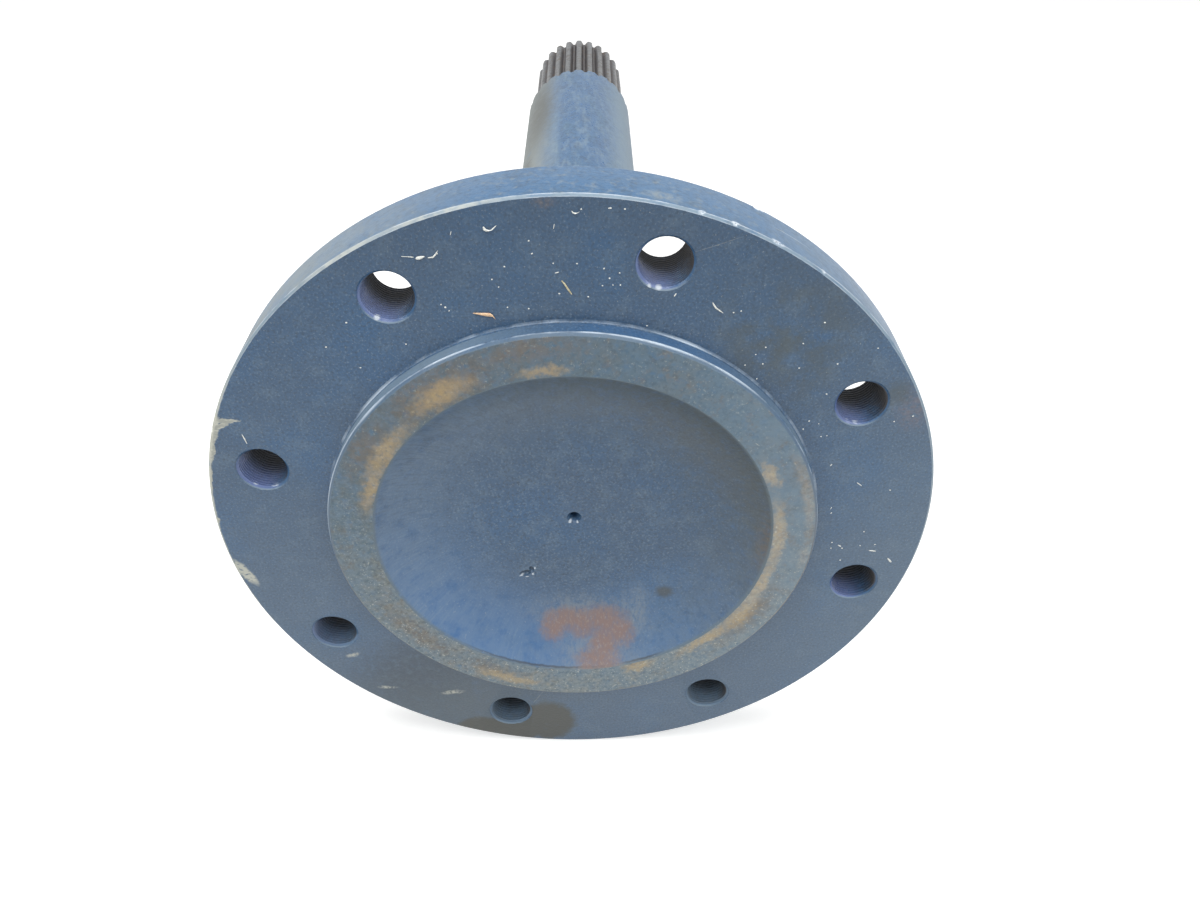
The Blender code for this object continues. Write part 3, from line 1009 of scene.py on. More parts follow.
        # Painted glints at the lower-left mouths of the tapped holes.
        glints = sheet.spots(
            Lay.FLAT, 0.3, 0.6, (114.6, 61, 0.9, 0.8), (117.8, 59.9, 1.2, 0.8),
            (129.4, -42.6, 0.8, 0.7), (132.1, -43.4, 1, 0.7), (28.9, 123.3, 0.8, 0.7),
            (32.6, 122.6, 1.1, 0.8), (-74.5, 109.4, 1.1, 0.8), (-137.5, 26.4, 1.2, 0.8),
            (-130.7, 25.4, 1.8, 0.7), depth=1, half_depth=1.6,
        )
        lowest_holes = sheet.under(sheet.z, -75, 20)
        sunk = sheet.over(away, flange.thread_major / MM, 0.2)
        lowest = sheet.toward(offset, (-0.2, 0.0, -0.98))
        upper = sheet.over(raised, 0.5, 5)
        lower_flange = sheet.under(sheet.z, 0, 60)
        rusty = sheet.spots(Lay.FLAT, 1.5, 0.6, (142, 50, 3, 9), half_depth=14)
        sheet.lay(
            (ENAMEL_DEEP, 0.5, wall),
            (HOLE_SOIL_AND_PAINTED_SHADE, 0.5, wall, inside, (2.5, 0.35, 0.65, 50)),
            # Painted light on the lower-left walls, which face the lamps.
            (
                ENAMEL_VIOLET, 0.7, wall, shining, sheet.under(sheet.y, 15, 6),
                sheet.over(sheet.z, -75, 20),
            ),
            # Painted light on the walls of the lowest holes and at the bottom of the countersinks.
            (CHALK_AND_PAINTED_LIGHT, 0.45, wall, lowest_holes),
            (CHALK_AND_PAINTED_LIGHT, 0.6, sunk, sheet.over(lowest, 8, 4), sheet.under(sheet.y, 3, 1)),
            # Painted shade on the upper walls, which face down, and deep inside the holes, with
            # some soil.
            (HOLE_SOIL_AND_PAINTED_SHADE, 0.95, wall, upper, inside),
            (HOLE_SOIL_AND_PAINTED_SHADE, 0.15, wall, lower_flange, inside),
            (HOLE_SOIL_AND_PAINTED_SHADE, 0.85, wall, sheet.over(sheet.y, 14, 6)),
            (RUST_BROWN, 0.6, wall, rusty),
            (WHITE_WEAR_AND_PAINTED_GLINTS, 0.9, glints),
        )


@dataclass(frozen=True)
class ShaftEnamel(Enamel):
    """The same enamel on the bar, rubbed grey along one side and chalky along the other."""

    name: str = "worn_enamel_of_shaft"

    def make(self) -> bpy.types.Material:
        """Lay paint and wear, and return the material."""
        sheet = self.ground()
        dress_shaft(sheet)
        return sheet.finish()


@dataclass(frozen=True)
class HobbedSteel(Enamel):
    """Hobbed and hardened bare steel, darker in its gaps, with enamel up to the shoulder.

    It gives the eye bright crests over near-black gaps.
    """

    name: str = "bare_hobbed_spline_steel"

    def make(self, spline: "SplinedEnd") -> bpy.types.Material:
        """Lay paint on the shaft end and bare steel on the teeth.

        Args:
            spline: The splined end, whose sizes place the steel.

        Returns:
            The material.
        """
        sheet = self.ground()
        dress_shaft(sheet)
        bare = sheet.over(sheet.y, spline.shoulder / MM + 4, 3)
        root = spline.tip_radius - spline.tooth_depth
        crest = sheet.over(sheet.radius, root / MM + 2.6, 1.2)
        sheet.lay(
            # The gaps stay darker than the crests.
            (STEEL_DARK, 1, bare),
            (BARE_STEEL, 0.8, bare, crest, (3, 0.2, 0.6, 14)),
            (RUST_BROWN, 0.5, bare, (4, 0.5, 0.7, 15)),
        )
        return sheet.finish()


@dataclass(frozen=True)
class DryLitter:
    """Dry scraps from the yard: matt, pale where the light shines through, darker in the grain."""

    name: str
    coat: Coat
    shade: Coat
    grain_mm: float = 0.5

    def make(self) -> bpy.types.Material:
        """Lay the scrap's colour and its darker grain."""
        sheet = Sheet(self.name, self.coat)
        grain = sheet.mottle(self.grain_mm, 0.4, 0.65, 60)
        sheet.lay(
            (self.shade, 0.7, grain),
        )
        sheet.emboss(-0.05, grain)
        return sheet.finish()


LIME_GRIT = DryLitter(
    "dried_lime_grit", Coat("lime", "#FAFBF4", 0.8), Coat("lime in shade", "#C3C8C8", 0.8),
)
STRAW = DryLitter("dry_straw", Coat("straw", "#DAD3B4", 0.6), Coat("old straw", "#A99C78", 0.7))
WOOD = DryLitter("split_softwood", Coat("wood", "#F6D7B4", 0.7), Coat("wood grain", "#CF9A6A", 0.8))


# ---------------------------------------------------------------- the axle


@dataclass(frozen=True)
class CentreHole:
    """A 60 degree centre hole with its pilot bore."""

    mouth_radius: float = 3.35 * MM
    bore_radius: float = 1.58 * MM
    bore_depth: float = 4.0 * MM
    lip: float = 0.25 * MM
    mouth_half_angle: float = math.radians(30.0)
    drill_half_angle: float = math.radians(59.0)

    def profile(self, face: float, end: End) -> list[Point]:
        """Draw the hole from its tip on the axis out to the face.

        Args:
            face: Place of the face along Y.
            end: Which way the face looks.

        Returns:
            Radius and place along Y, from the axis outward, without the face.
        """
        inward = -end.value
        cone = (self.mouth_radius - self.bore_radius) / math.tan(self.mouth_half_angle)
        tip = self.bore_radius / math.tan(self.drill_half_angle)
        bottom = face + inward * (cone + self.bore_depth)
        points = [
            (0.0, bottom + inward * tip),
            (self.bore_radius, bottom),
            (self.bore_radius, face + inward * cone),
            (self.mouth_radius, face),
            (2.0 * self.mouth_radius, face),
        ]
        return soften(points, {3: self.lip})[:-1]


@dataclass(frozen=True)
class Flange:
    """The wheel flange with its pilot ring, dish and eight tapped holes."""

    radius: float = 160.0 * MM
    thickness: float = 26.0 * MM
    edge_chamfer: float = 1.0 * MM
    back_fillet: float = 12.0 * MM
    bolt_count: int = 8
    bolt_circle: float = 137.5 * MM
    bolt_bearing: float = math.radians(30.4)
    thread_minor: float = 10.2 * MM
    thread_major: float = 11.0 * MM
    thread_pitch: float = 1.5 * MM
    thread_facets: int = 36
    countersink: float = 11.5 * MM
    back_countersink: float = 11.0 * MM
    pilot_radius: float = 108.2 * MM
    pilot_height: float = 8.4 * MM
    pilot_chamfer: float = 1.4 * MM
    pilot_fillet: float = 1.2 * MM
    recess_radius: float = 88.6 * MM
    recess_floor: float = 48.0 * MM
    recess_depth: float = 15.9 * MM
    recess_steps: int = 20
    shaft_radius: float = 43.1 * MM
    stub_end: float = 58.0 * MM
    edge_break: float = 0.3 * MM
    dent_roughness: float = 0.12 * MM
    dents: tuple[Mark, ...] = (
        Mark(-23.6, -35.8, 3.0, 1.8, 20.0, depth=7.3, half_depth=2.0),
        Mark(-20.6, -33.4, 1.2, 2.0, 15.0, depth=7.3, half_depth=1.4),
        Mark(-19.2, -36.2, 0.8, 1.1, depth=7.2, half_depth=0.8),
        Mark(2.2, 20.6, 0.7, 0.5, 30.0, depth=7.4, half_depth=0.4),
        Mark(46.8, 153.4, 0.9, 1.1, depth=0.3, half_depth=1.0),
        Mark(59.4, 148.9, 0.8, 1.0, depth=0.4, half_depth=1.0),
        Mark(75.9, 141.3, 1.6, 0.9, depth=0.6, half_depth=1.0),
        Mark(94.4, 129.6, 0.9, 0.8, depth=0.3, half_depth=0.9),
        Mark(71.4, 143.8, 2.4, 0.9, depth=24.6, half_depth=1.6),
        Mark(-156.9, 36.2, 0.9, 2.2, depth=0.6, half_depth=1.6),
        Mark(-150.6, 56.6, 1.0, 2.4, 20.0, depth=0.4, half_depth=1.6),
        Mark(-157.3, -34.2, 0.9, 2.6, -12.0, depth=0.6, half_depth=1.8),
    )

    def recess(self) -> list[Point]:
        """Draw the dish's one arc, from its floor to the ring's edge."""
        run = self.recess_radius - self.recess_floor
        arc = (run * run + self.recess_depth**2) / (2.0 * self.recess_depth)
        sweep = 2.0 * math.atan2(self.recess_depth, run)
        floor = self.recess_depth - self.pilot_height
        points = []
        for step in range(self.recess_steps + 1):
            angle = sweep * step / self.recess_steps
            points.append((
                self.recess_floor + arc * math.sin(angle), floor - arc * (1.0 - math.cos(angle)),
            ))
        return points

    def profile(self) -> list[Point]:
        """Draw the whole flange and the first of the shaft, from axis to axis."""
        floor = self.recess_depth - self.pilot_height
        top = -self.pilot_height
        rim = self.radius - self.edge_chamfer
        back = self.thickness
        dish = self.recess()
        outline = [
            dish[-2],
            dish[-1],
            (self.pilot_radius - self.pilot_chamfer, top),
            (self.pilot_radius, top + self.pilot_chamfer),
            (self.pilot_radius, 0.0),
            (rim, 0.0),
            (self.radius, self.edge_chamfer),
            (self.radius, back - self.edge_chamfer),
            (rim, back),
            (self.shaft_radius, back),
            (self.shaft_radius, self.stub_end),
            (0.0, self.stub_end),
        ]
        small = self.edge_break
        radii = {
            1: small, 2: small, 3: small, 4: self.pilot_fillet, 5: small, 6: small, 7: small,
            8: small,
        }
        body = soften(outline, radii)
        corner = body.index(outline[9])
        fillet = rounded(outline[9], outline[8], outline[10], self.back_fillet, 8)
        body[corner:corner + 1] = fillet
        return CentreHole().profile(floor, End.WHEEL) + dish[:-2] + body

    def thread(self) -> bpy.types.Object:
        """Turn the groove of one tapped hole along Y at the origin, closed at both ends."""
        pitch = self.thread_pitch
        # A metric thread: 60 degree flanks, a flat of a quarter pitch inside, an eighth outside.
        flank = pitch * 5.0 / 16.0
        start = -4.0 * pitch
        turns = math.ceil((self.thickness + 8.0 * pitch) / pitch)
        groove = draw_line(
            "bolt_thread",
            [
                (self.thread_minor, start),
                (self.thread_minor, start + pitch / 4.0),
                (self.thread_major, start + pitch / 4.0 + flank),
                (self.thread_major, start + pitch * 3.0 / 8.0 + flank),
                (self.thread_minor, start + pitch),
            ],
        )
        bpy.ops.object.mode_set(mode="OBJECT")
        screw = groove.modifiers.new("helix", "SCREW")
        screw.axis = "Y"
        screw.steps = screw.render_steps = self.thread_facets
        screw.iterations = turns
        screw.screw_offset = pitch
        screw.use_merge_vertices = False
        bpy.ops.object.modifier_apply(modifier=screw.name)
        start_editing(groove)
        bpy.ops.mesh.remove_doubles(threshold=MERGE)
        for place, normal in ((-OVERRUN, (0, -1, 0)), (self.thickness + OVERRUN, (0, 1, 0))):
            bpy.ops.mesh.select_all(action="SELECT")
            bpy.ops.mesh.bisect(
                plane_co=(0, place, 0), plane_no=normal, use_fill=True, clear_outer=True,
            )
        close_up()
        return groove

    def countersinks(self) -> list[bpy.types.Object]:
        """Make the two cones that open a tapped hole, their facets between the thread's."""
        cones = []
        between = Matrix.Rotation(math.pi / self.thread_facets, 4, "Y")
        reach = 2.0 * OVERRUN
        for mouth, face, out in (
            (self.countersink, 0.0, -1.0), (self.back_countersink, self.thickness, 1.0),
        ):
            start = face + out * OVERRUN
            end = face - out * (reach + mouth - self.thread_minor)
            wide = mouth + OVERRUN
            narrow = self.thread_minor - reach
            profile = [(0.0, start), (wide, start), (narrow, end), (0.0, end)]
            cones.append(move_mesh(turn_solid("countersink", profile, self.thread_facets), between))
        return cones

    def region(self, place: Vector) -> Region:
        """Say which part of the flange a place on it belongs to."""
        radius = math.hypot(place.x, place.z)
        pitch = math.tau / self.bolt_count
        turn = math.atan2(place.z, place.x) - self.bolt_bearing
        bearing = self.bolt_bearing + pitch * round(turn / pitch)
        across = math.hypot(
            place.x - self.bolt_circle * math.cos(bearing),
            place.z - self.bolt_circle * math.sin(bearing),
        )
        if across < self.countersink + MERGE and MERGE < place.y < self.thickness - MERGE:
            return Region.HOLE
        if radius < self.recess_radius and place.y < self.thickness:
            return Region.DISH
        if place.y < -MERGE:
            return Region.RING
        if place.y < MERGE:
            return Region.FACE
        return Region.RIM

    def strike(self, flange: bpy.types.Object) -> None:
        """Knock the dents into the dish, and the nicks into the rim's edges."""
        for index, dent in enumerate(self.dents):
            clear_selection()
            bpy.ops.mesh.primitive_ico_sphere_add(subdivisions=3, radius=MM)
            blow = bpy.context.object
            start_editing(blow)
            bpy.ops.transform.vertex_random(offset=self.dent_roughness, seed=index)
            bpy.ops.object.mode_set(mode="OBJECT")
            size = Matrix.Diagonal((dent.half_along, dent.half_depth, dent.half_up, 1.0))
            turn = Matrix.Rotation(-math.radians(dent.turn), 4, "Y")
            place = Matrix.Translation((dent.along * MM, dent.depth * MM, dent.up * MM))
            combine(flange, move_mesh(blow, place @ turn @ size), "DIFFERENCE")

    def build(self) -> bpy.types.Object:
        """Turn the flange, tap its holes and dent it."""
        flange = turn_solid("axle_flange", self.profile(), FACETS)
        hole = self.thread()
        for cone in self.countersinks():
            combine(hole, cone, "UNION")
        move_mesh(hole, Matrix.Translation((self.bolt_circle, 0.0, 0.0)))
        combine(flange, copy_round(hole, self.bolt_count, self.bolt_bearing), "DIFFERENCE")
        self.strike(flange)
        start_editing(flange)
        close_up()
        return flange

    def dress(self, piece: bpy.types.Object) -> None:
        """Give each part of the flange its worn enamel."""
        finish_piece(piece, *(FlangeEnamel().make(self, region) for region in Region))
        for polygon in piece.data.polygons:
            polygon.material_index = self.region(polygon.center).value
        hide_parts("axle_shaft")


@dataclass(frozen=True)
class Bar:
    """The plain shaft between the flange and the splined end."""

    radius: float = 43.1 * MM
    start: float = 58.0 * MM
    end: float = 500.0 * MM

    def build(self) -> bpy.types.Object:
        """Turn the plain bar."""
        profile = [
            (0.0, self.start), (self.radius, self.start), (self.radius, self.end), (0.0, self.end),
        ]
        return turn_solid("axle_bar", profile, FACETS)

    def dress(self, piece: bpy.types.Object) -> None:
        """Give the bar its worn enamel."""
        finish_piece(piece, ShaftEnamel().make())
        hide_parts("axle_shaft")


@dataclass(frozen=True)
class SplinedEnd:
    """The shoulder and the splines, their gaps cut by a hob that lifts out at the shoulder."""

    radius: float = 43.1 * MM
    start: float = 500.0 * MM
    shoulder: float = 518.5 * MM
    end: float = 621.8 * MM
    end_chamfer: float = 2.0 * MM
    teeth: int = 24
    first_bearing: float = math.radians(90.4)
    tip_radius: float = 38.5 * MM
    tooth_depth: float = 4.0 * MM
    tip_width: float = 3.4 * MM
    root_gap: float = 1.6 * MM
    root_fillet: float = 0.6 * MM
    tip_break: float = 0.8 * MM
    tip_fillet: float = 0.8 * MM
    hob_radius: float = 40.0 * MM
    hob_lift: float = 19.8 * MM
    hob_steps: int = 10

    def profile(self) -> list[Point]:
        """Draw the blank that the splines are cut in, from axis to axis."""
        step = self.radius - self.tip_radius
        outline = [
            (0.0, self.start),
            (self.radius, self.start),
            (self.radius, self.shoulder),
            (self.tip_radius, self.shoulder + step),
            (self.tip_radius, self.end - self.end_chamfer),
            (self.tip_radius - self.end_chamfer, self.end),
            (0.0, self.end),
        ]
        radii = {2: 0.8 * MM, 3: 1.5 * MM, 4: 0.4 * MM, 5: 0.3 * MM}
        body = soften(outline, radii)[:-1]
        return body + CentreHole().profile(self.end, End.SPLINE)[::-1]

    def gap_section(self) -> list[Point]:
        """Draw half of a gap: half its width and its height over the root, from the root up."""
        pitch = math.tau * self.tip_radius / self.teeth
        half_root = self.root_gap / 2.0
        half_tip = (pitch - self.tip_width) / 2.0
        slope = (half_tip - half_root) / self.tooth_depth
        flare = self.tooth_depth - self.tip_break
        crest = self.tooth_depth + 0.2 * self.tip_break
        above = self.tooth_depth * 1.25
        outline = [
            (0.0, 0.0),
            (half_root, 0.0),
            (half_root + slope * flare, flare),
            (half_tip + self.tip_break, crest),
            (half_tip + self.tip_break, above),
        ]
        return soften(outline, {1: self.root_fillet, 2: self.tip_fillet})[1:]

    def gap_cutter(self) -> bpy.types.Object:
        """Sweep one gap along the splines at bearing 0 and lift it out through the shoulder."""
        root = self.tip_radius - self.tooth_depth
        half = self.gap_section()
        top = self.radius + 2.0 * self.tooth_depth
        side = [(root + up, across) for across, up in half]
        ring = [(x, -z) for x, z in side] + [(top, -half[-1][0]), (top, half[-1][0])] + side[::-1]
        cutter = draw_line("gap_cutter", ring)
        bpy.ops.mesh.select_all(action="SELECT")
        bpy.ops.mesh.edge_face_add()
        bpy.ops.object.mode_set(mode="OBJECT")
        stand = Matrix.Rotation(math.radians(90.0), 4, "X")
        move_mesh(cutter, Matrix.Translation((0.0, self.end + OVERRUN, 0.0)) @ stand)
        start_editing(cutter)
        lift_start = self.shoulder + self.hob_lift
        rise = self.radius - root + OVERRUN
        reach = math.acos(1.0 - rise / self.hob_radius)
        here = Vector((0.0, self.end + OVERRUN))
        for step in range(self.hob_steps + 1):
            angle = reach * step / self.hob_steps
            run = lift_start - self.hob_radius * math.sin(angle)
            lift = self.hob_radius * (1.0 - math.cos(angle))
            onward = (0.0, run - here[1], 0.0)
            bpy.ops.mesh.extrude_region_move(TRANSFORM_OT_translate={"value": onward})
            limit = top - MERGE
            pick(cutter, lambda place: abs(place.y - run) < MERGE and place.x < limit)
            bpy.ops.transform.translate(value=(lift - here[0], 0.0, 0.0))
            pick(cutter, lambda place: abs(place.y - run) < MERGE)
            here = Vector((lift, run))
        close_up()
        return cutter

    def build(self) -> bpy.types.Object:
        """Turn the blank and hob its splines."""
        spline = turn_solid("axle_splined_end", self.profile(), FACETS)
        first_gap = self.first_bearing + math.pi / self.teeth
        combine(spline, copy_round(self.gap_cutter(), self.teeth, first_gap), "DIFFERENCE")
        return spline

    def dress(self, piece: bpy.types.Object) -> None:
        """Give the shoulder its enamel and the teeth their bare steel."""
        finish_piece(piece, HobbedSteel().make(self))
        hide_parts("axle_shaft")


@dataclass(frozen=True)
class Grit:
    """Specks of lime lying on the wheel face, in mm: x, z, length, width and turn in degrees."""

    size: float = 0.42 * MM
    roughness: float = 0.2
    cut: float = 0.3
    flatness: float = 0.8
    specks: tuple[Row, ...] = (
        (13.8, 154.7, 1.6, 0.6, 5), (3.6, 154.3, 0.8, 0.5, 0), (19.1, 154.4, 0.9, 0.6, 0),
        (-6.2, 147.6, 2.5, 0.35, 80), (-15.4, 142.0, 0.8, 0.7, 0), (-14.4, 136.9, 0.9, 0.6, 40),
        (-24.7, 131.6, 0.8, 0.7, 10), (-6.7, 133.0, 0.7, 0.6, 0), (-5.4, 129.2, 2.0, 0.5, 15),
        (2.0, 132.9, 0.8, 0.7, 0), (12.0, 130.9, 0.9, 0.6, 60), (17.8, 129.1, 0.7, 0.6, 0),
        (14.1, 126.9, 0.8, 0.8, 0), (18.2, 124.1, 0.7, 0.6, 30), (11.5, 123.8, 0.8, 0.6, 0),
        (15.4, 124.1, 0.6, 0.6, 0), (-4.7, 120.4, 0.9, 0.7, 0), (6.2, 119.1, 0.8, 0.6, 0),
        (-16.4, 113.9, 0.8, 0.7, 20), (-24.4, 114.5, 0.7, 0.6, 0), (-27.3, 123.1, 0.8, 0.6, 70),
        (-29.6, 126.3, 0.7, 0.7, 0), (28.8, 106.5, 0.8, 0.6, 0), (-49.0, 136.8, 0.9, 0.7, 0),
        (-43.3, 144.8, 2.0, 0.35, 75), (-47.9, 114.4, 1.0, 0.9, 0), (-49.4, 115.6, 0.7, 0.6, 0),
        (-46.6, 112.9, 0.8, 0.5, 45), (-86.3, 107.6, 0.9, 0.8, 0), (-95.8, 96.6, 1.0, 0.7, 20),
        (-64.6, 98.0, 0.8, 0.7, 0), (-83.8, 87.0, 0.9, 0.6, 0), (38.9, 119.9, 2.0, 0.6, 63),
        (97.3, 108.1, 1.0, 0.7, 0), (90.3, 98.6, 0.8, 0.7, 0), (75.8, 96.8, 0.7, 0.7, 0),
        (90.3, 87.1, 0.9, 0.6, 0), (73.9, 81.9, 0.8, 0.6, 50), (105.3, 89.1, 0.9, 0.7, 0),
        (120.1, 96.5, 0.8, 0.6, 0), (68.5, 88.5, 0.7, 0.6, 0), (75.5, 89.1, 0.8, 0.8, 0),
        (72.2, 93.5, 0.7, 0.6, 0), (61.7, 112.4, 0.8, 0.6, 0), (64.5, 113.1, 0.7, 0.6, 0),
        (103.2, 74.5, 0.9, 0.7, 0), (96.1, 56.6, 0.9, 0.7, 0), (98.0, 60.8, 0.8, 0.6, 30),
        (110.9, 37.2, 1.6, 0.5, 60), (114.8, 12.4, 1.6, 0.5, 75), (115.3, 9.4, 1.1, 0.5, 60),
        (122.3, -10.8, 2.4, 0.7, -30), (123.8, -12.4, 0.9, 0.7, 0), (125.0, 26.4, 4.0, 0.5, -38),
        (139.2, 23.0, 0.8, 0.6, 0), (132.1, -2.0, 0.8, 0.6, 0), (118.5, -8.8, 0.8, 0.6, 0),
        (118.6, -12.4, 1.0, 0.5, 60), (131.9, -10.8, 0.9, 0.5, 0), (138.7, -10.1, 1.2, 0.4, 12),
        (138.2, -14.1, 4.4, 0.7, -8), (147.3, -20.2, 4.2, 1.2, -50), (124.1, -20.1, 0.9, 0.7, 0),
        (102.2, 59.4, 0.6, 0.5, 0), (104.2, 52.7, 0.6, 0.5, 0), (106.6, 53.1, 0.6, 0.5, 0),
        (140.8, 63.4, 0.8, 0.7, 0), (133.5, 60.6, 0.7, 0.6, 0),
    )

    def build(self) -> bpy.types.Object:
        """Shape one speck with a flat underside, and lay a turned and sized copy at each place."""
        clear_selection()
        bpy.ops.mesh.primitive_ico_sphere_add(subdivisions=2, radius=self.size)
        speck = bpy.context.object
        speck.name = speck.data.name = "lime_grit"
        start_editing(speck)
        bpy.ops.transform.vertex_random(offset=self.roughness * self.size, seed=3)
        bpy.ops.mesh.select_all(action="SELECT")
        cut = self.cut * self.size
        bpy.ops.mesh.bisect(
            plane_co=(0, cut, 0), plane_no=(0, 1, 0), use_fill=True, clear_outer=True,
        )
        close_up()
        move_mesh(speck, Matrix.Translation((0.0, -cut, 0.0)))
        copies = []
        for x, z, length, width, turn in self.specks:
            copy = speck.copy()
            copy.data = speck.data.copy()
            bpy.context.scene.collection.objects.link(copy)
            size = Matrix.Diagonal((length, self.flatness * width, width, 1.0))
            place = Matrix.Translation((x * MM, 0.0, z * MM))
            copies.append(
                move_mesh(copy, place @ Matrix.Rotation(-math.radians(turn), 4, "Y") @ size),
            )
        bpy.data.objects.remove(speck, do_unlink=True)
        return join_pieces(copies, "lime_grit")

    def dress(self, piece: bpy.types.Object) -> None:
        """Give the specks their dry lime."""
        finish_piece(piece, LIME_GRIT.make())


@dataclass(frozen=True)
class Scraps:
    """Thin scraps lying on the wheel face, each drawn through its places.

    A place is x, z and half the width there, in mm.
    """

    name: str
    finish: DryLitter
    paths: tuple[tuple[Place, ...], ...]
    flat: float = 0.6
    sides: int = 8

    def draw(self, path: tuple[Place, ...]) -> bpy.types.Object:
        """Pull a small disc from place to place, then press it flat on the face.

        Args:
            path: The scrap's places.

        Returns:
            The scrap.
        """
        clear_selection()
        first, second = (Vector((x * MM, 0.0, z * MM)) for x, z, half in path[:2])
        aim = (second - first).to_track_quat("Z", "Y").to_euler()
        bpy.ops.mesh.primitive_circle_add(
            vertices=self.sides, radius=path[0][2] * MM, fill_type="NGON", location=first,
            rotation=aim,
        )
        scrap = bpy.context.object
        scrap.name = scrap.data.name = self.name
        bpy.ops.object.transform_apply(location=True, rotation=True, scale=True)
        start_editing(scrap)
        for (x, z, half), (on_x, on_z, on_half) in zip(path, path[1:]):
            step = ((on_x - x) * MM, 0.0, (on_z - z) * MM)
            bpy.ops.mesh.extrude_region_move(TRANSFORM_OT_translate={"value": step})
            grow = on_half / half
            bpy.ops.transform.resize(
                value=(grow, grow, grow), center_override=(on_x * MM, 0.0, on_z * MM),
            )
        close_up()
        thick = max(half for x, z, half in path) * self.flat * MM
        # It is sunk by a fiftieth of its thickness, so that it lies on the face and not above it.
        lift = Matrix.Translation((0.0, -0.98 * thick, 0.0))
        return move_mesh(scrap, lift @ Matrix.Diagonal((1.0, self.flat, 1.0, 1.0)))

    def build(self) -> bpy.types.Object:
        """Draw every scrap and join them."""
        return join_pieces([self.draw(path) for path in self.paths], self.name)

    def dress(self, piece: bpy.types.Object) -> None:
        """Give the scraps their finish."""
        finish_piece(piece, self.finish.make(), sharp=60.0)


LITTER = (
    Grit(),
    Scraps(
        "lime_curls",
        LIME_GRIT,
        (
            (
                (-31.4, 147.6, 0.25), (-31.0, 146.5, 0.55), (-29.9, 146.0, 0.75),
                (-28.6, 146.3, 0.7), (-27.6, 147.3, 0.45), (-26.8, 148.1, 0.2),
            ),
            ((0.2, 153.7, 0.12), (0.8, 152.9, 0.3), (1.8, 152.7, 0.42), (2.9, 153.3, 0.2)),
            ((-62.0, 135.6, 0.1), (-59.4, 135.5, 0.18), (-57.6, 135.3, 0.12)),
            ((-56.8, 134.9, 0.3), (-55.9, 135.1, 0.75), (-54.6, 135.5, 0.55), (-53.6, 135.8, 0.2)),
            (
                (-52.4, 135.2, 0.15), (-50.6, 135.4, 0.35), (-49.4, 136.6, 0.42),
                (-48.6, 138.0, 0.15),
            ),
            (
                (53.3, 116.8, 0.15), (53.9, 115.7, 0.3), (54.8, 114.4, 0.35), (56.0, 113.5, 0.3),
                (57.6, 112.3, 0.15),
            ),
            ((-137.6, 53.8, 0.15), (-137.1, 51.6, 0.3), (-136.6, 49.0, 0.15)),
        ),
    ),
    Scraps(
        "dry_straw", STRAW,
        (((-3.7, 125.9, 0.2), (-2.6, 124.5, 0.35), (-1.3, 122.2, 0.36), (0.0, 120.2, 0.2)),),
    ),
    Scraps(
        "wood_chip",
        WOOD,
        (
            (
                (-37.6, 112.1, 0.15), (-35.6, 111.9, 0.4), (-33.4, 111.6, 0.7),
                (-31.2, 111.4, 0.8), (-30.2, 111.0, 0.45), (-29.2, 109.4, 0.1),
            ),
        ),
    ),
)


# ---------------------------------------------------------------- studio


@dataclass(frozen=True)
class Lamp:
    """A square soft lamp that looks at the origin: its place, size in metres and watts."""

    name: str
    place: Place
    size: float
    power: float


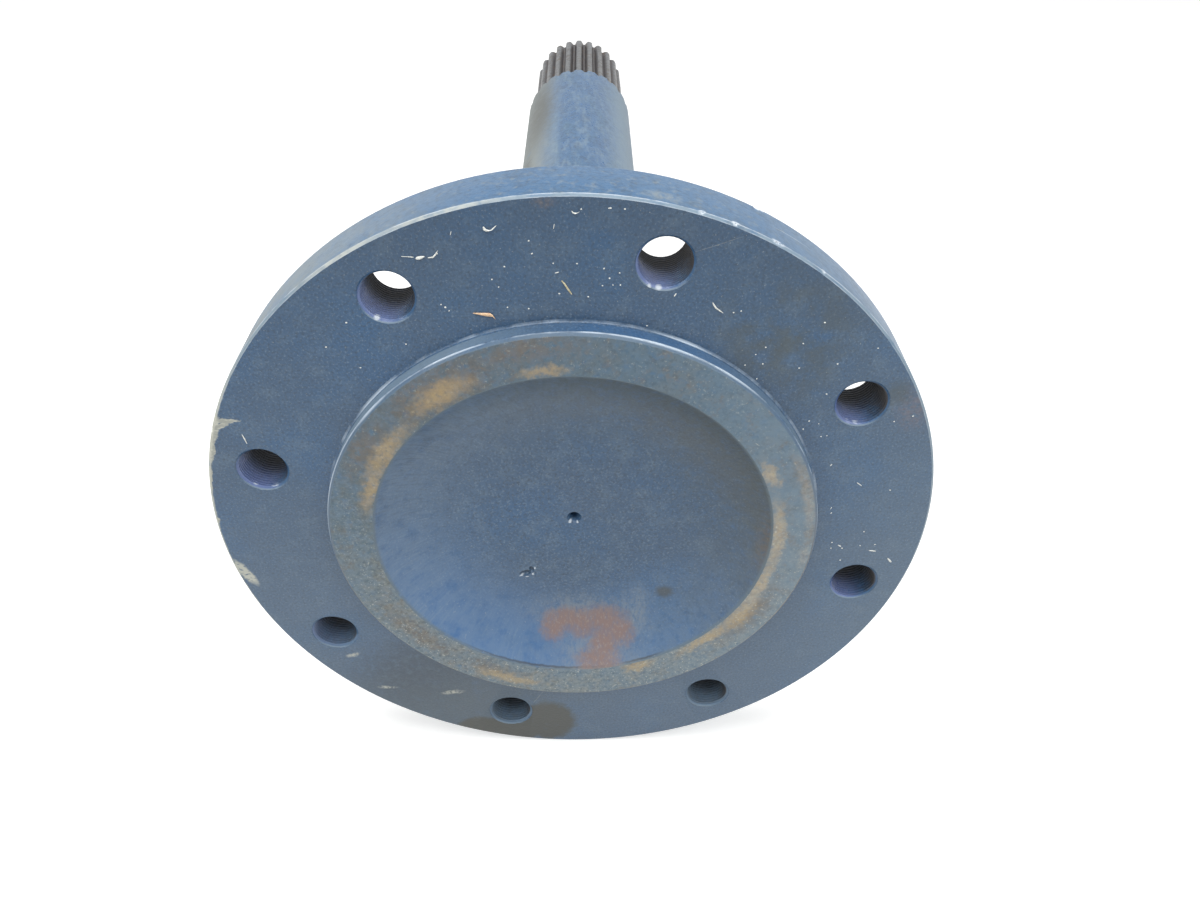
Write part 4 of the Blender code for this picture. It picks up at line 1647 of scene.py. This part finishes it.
@dataclass(frozen=True)
class Studio:
    """Pale floor, white surroundings, soft overhead light and the camera."""

    lens_mm: float = 29.221
    camera_place: Place = (0.004834, -0.323377, 0.301606)
    camera_turn: Place = (51.6187, -0.5609, -0.7081)
    floor_size: float = 12.0
    floor_colour: str = "#DADAD8"
    floor_glow: float = 0.55
    fill: float = 0.38
    lamps: tuple[Lamp, ...] = (
        Lamp("overhead_softbox", (-0.1, -0.1, 1.7), 1.4, 30.0),
        Lamp("front_window", (0.55, -0.75, 1.15), 0.35, 3.0),
        Lamp("left_window", (-1.05, -0.65, 0.85), 0.35, 3.0),
        Lamp("right_window", (1.05, -0.6, 0.8), 0.3, 2.0),
    )

    def light_path(self, tree: bpy.types.NodeTree) -> Mask:
        """Tell the rays that see the background from those that light the axle."""
        rays = add_node(tree, "ShaderNodeLightPath").outputs
        seen = add_node(
            tree, "ShaderNodeMath", {0: rays["Is Camera Ray"], 1: rays["Is Glossy Ray"]},
            operation="MAXIMUM",
        )
        return add_node(
            tree, "ShaderNodeMath", {0: seen.outputs[0], 1: rays["Is Transmission Ray"]},
            operation="MAXIMUM",
        ).outputs[0]

    def build_floor(self) -> None:
        """Lay the floor at the flange's lowest point."""
        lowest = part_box(NODE)[0].z
        clear_selection()
        bpy.ops.mesh.primitive_plane_add(
            size=self.floor_size, location=(0.0, 0.0, lowest - 0.1 * MM),
        )
        floor = bpy.context.object
        floor.name = "studio_floor"
        bpy.ops.object.transform_apply(location=True)
        # Matt paper: a soft shadow under the flange, and a white that runs into the background.
        material = bpy.data.materials.new("matt_paper_floor")
        material.use_nodes = True
        tree = material.node_tree
        tree.nodes.clear()
        seen = self.light_path(tree)
        glow = add_node(tree, "ShaderNodeMath", {0: seen, 1: self.floor_glow}, operation="MULTIPLY")
        values = {
            "Base Color": linear(self.floor_colour),
            "Roughness": 0.9,
            "Emission Color": (1.0, 1.0, 1.0, 1.0),
            "Emission Strength": glow.outputs[0],
        }
        shader = add_node(tree, "ShaderNodeBsdfPrincipled", values)
        add_node(tree, "ShaderNodeOutputMaterial", {"Surface": shader.outputs[0]})
        floor.data.materials.append(material)

    def build_light(self) -> None:
        """Hang one large soft lamp overhead, in white surroundings."""
        world = bpy.data.worlds.new("white_room")
        bpy.context.scene.world = world
        world.use_nodes = True
        tree = world.node_tree
        tree.nodes.clear()
        seen = self.light_path(tree)
        strength = add_node(
            tree, "ShaderNodeMapRange", {"Value": seen, "To Min": self.fill, "To Max": 1.0},
        )
        back = add_node(
            tree, "ShaderNodeBackground", {"Color": (1, 1, 1, 1), "Strength": strength.outputs[0]},
        )
        add_node(tree, "ShaderNodeOutputWorld", {"Surface": back.outputs[0]})
        for lamp in self.lamps:
            data = bpy.data.lights.new(lamp.name, "AREA")
            data.shape = "SQUARE"
            data.size = lamp.size
            data.energy = lamp.power
            hung = bpy.data.objects.new(lamp.name, data)
            hung.location = lamp.place
            hung.rotation_euler = (-Vector(lamp.place)).to_track_quat("-Z", "Y").to_euler()
            bpy.context.scene.collection.objects.link(hung)

    def build_camera(self) -> None:
        """Place the camera where the photograph was taken."""
        data = bpy.data.cameras.new("photo_camera")
        data.sensor_width = 36.0
        data.lens = self.lens_mm
        data.clip_start = 0.01
        camera = bpy.data.objects.new("photo_camera", data)
        camera.location = self.camera_place
        camera.rotation_euler = tuple(math.radians(angle) for angle in self.camera_turn)
        bpy.context.scene.collection.objects.link(camera)
        bpy.context.scene.camera = camera
        bpy.context.scene.view_settings.view_transform = "Standard"


def main() -> None:
    """Build the axle from the flange to the splines, then the studio."""
    logging.basicConfig(level=logging.INFO, format="%(name)s: %(message)s")
    for part in (Flange(), Bar(), SplinedEnd(), *LITTER):
        piece = part.build()
        part.dress(piece)
    studio = Studio()
    studio.build_floor()
    studio.build_light()
    studio.build_camera()


if __name__ == "__main__":
    main()
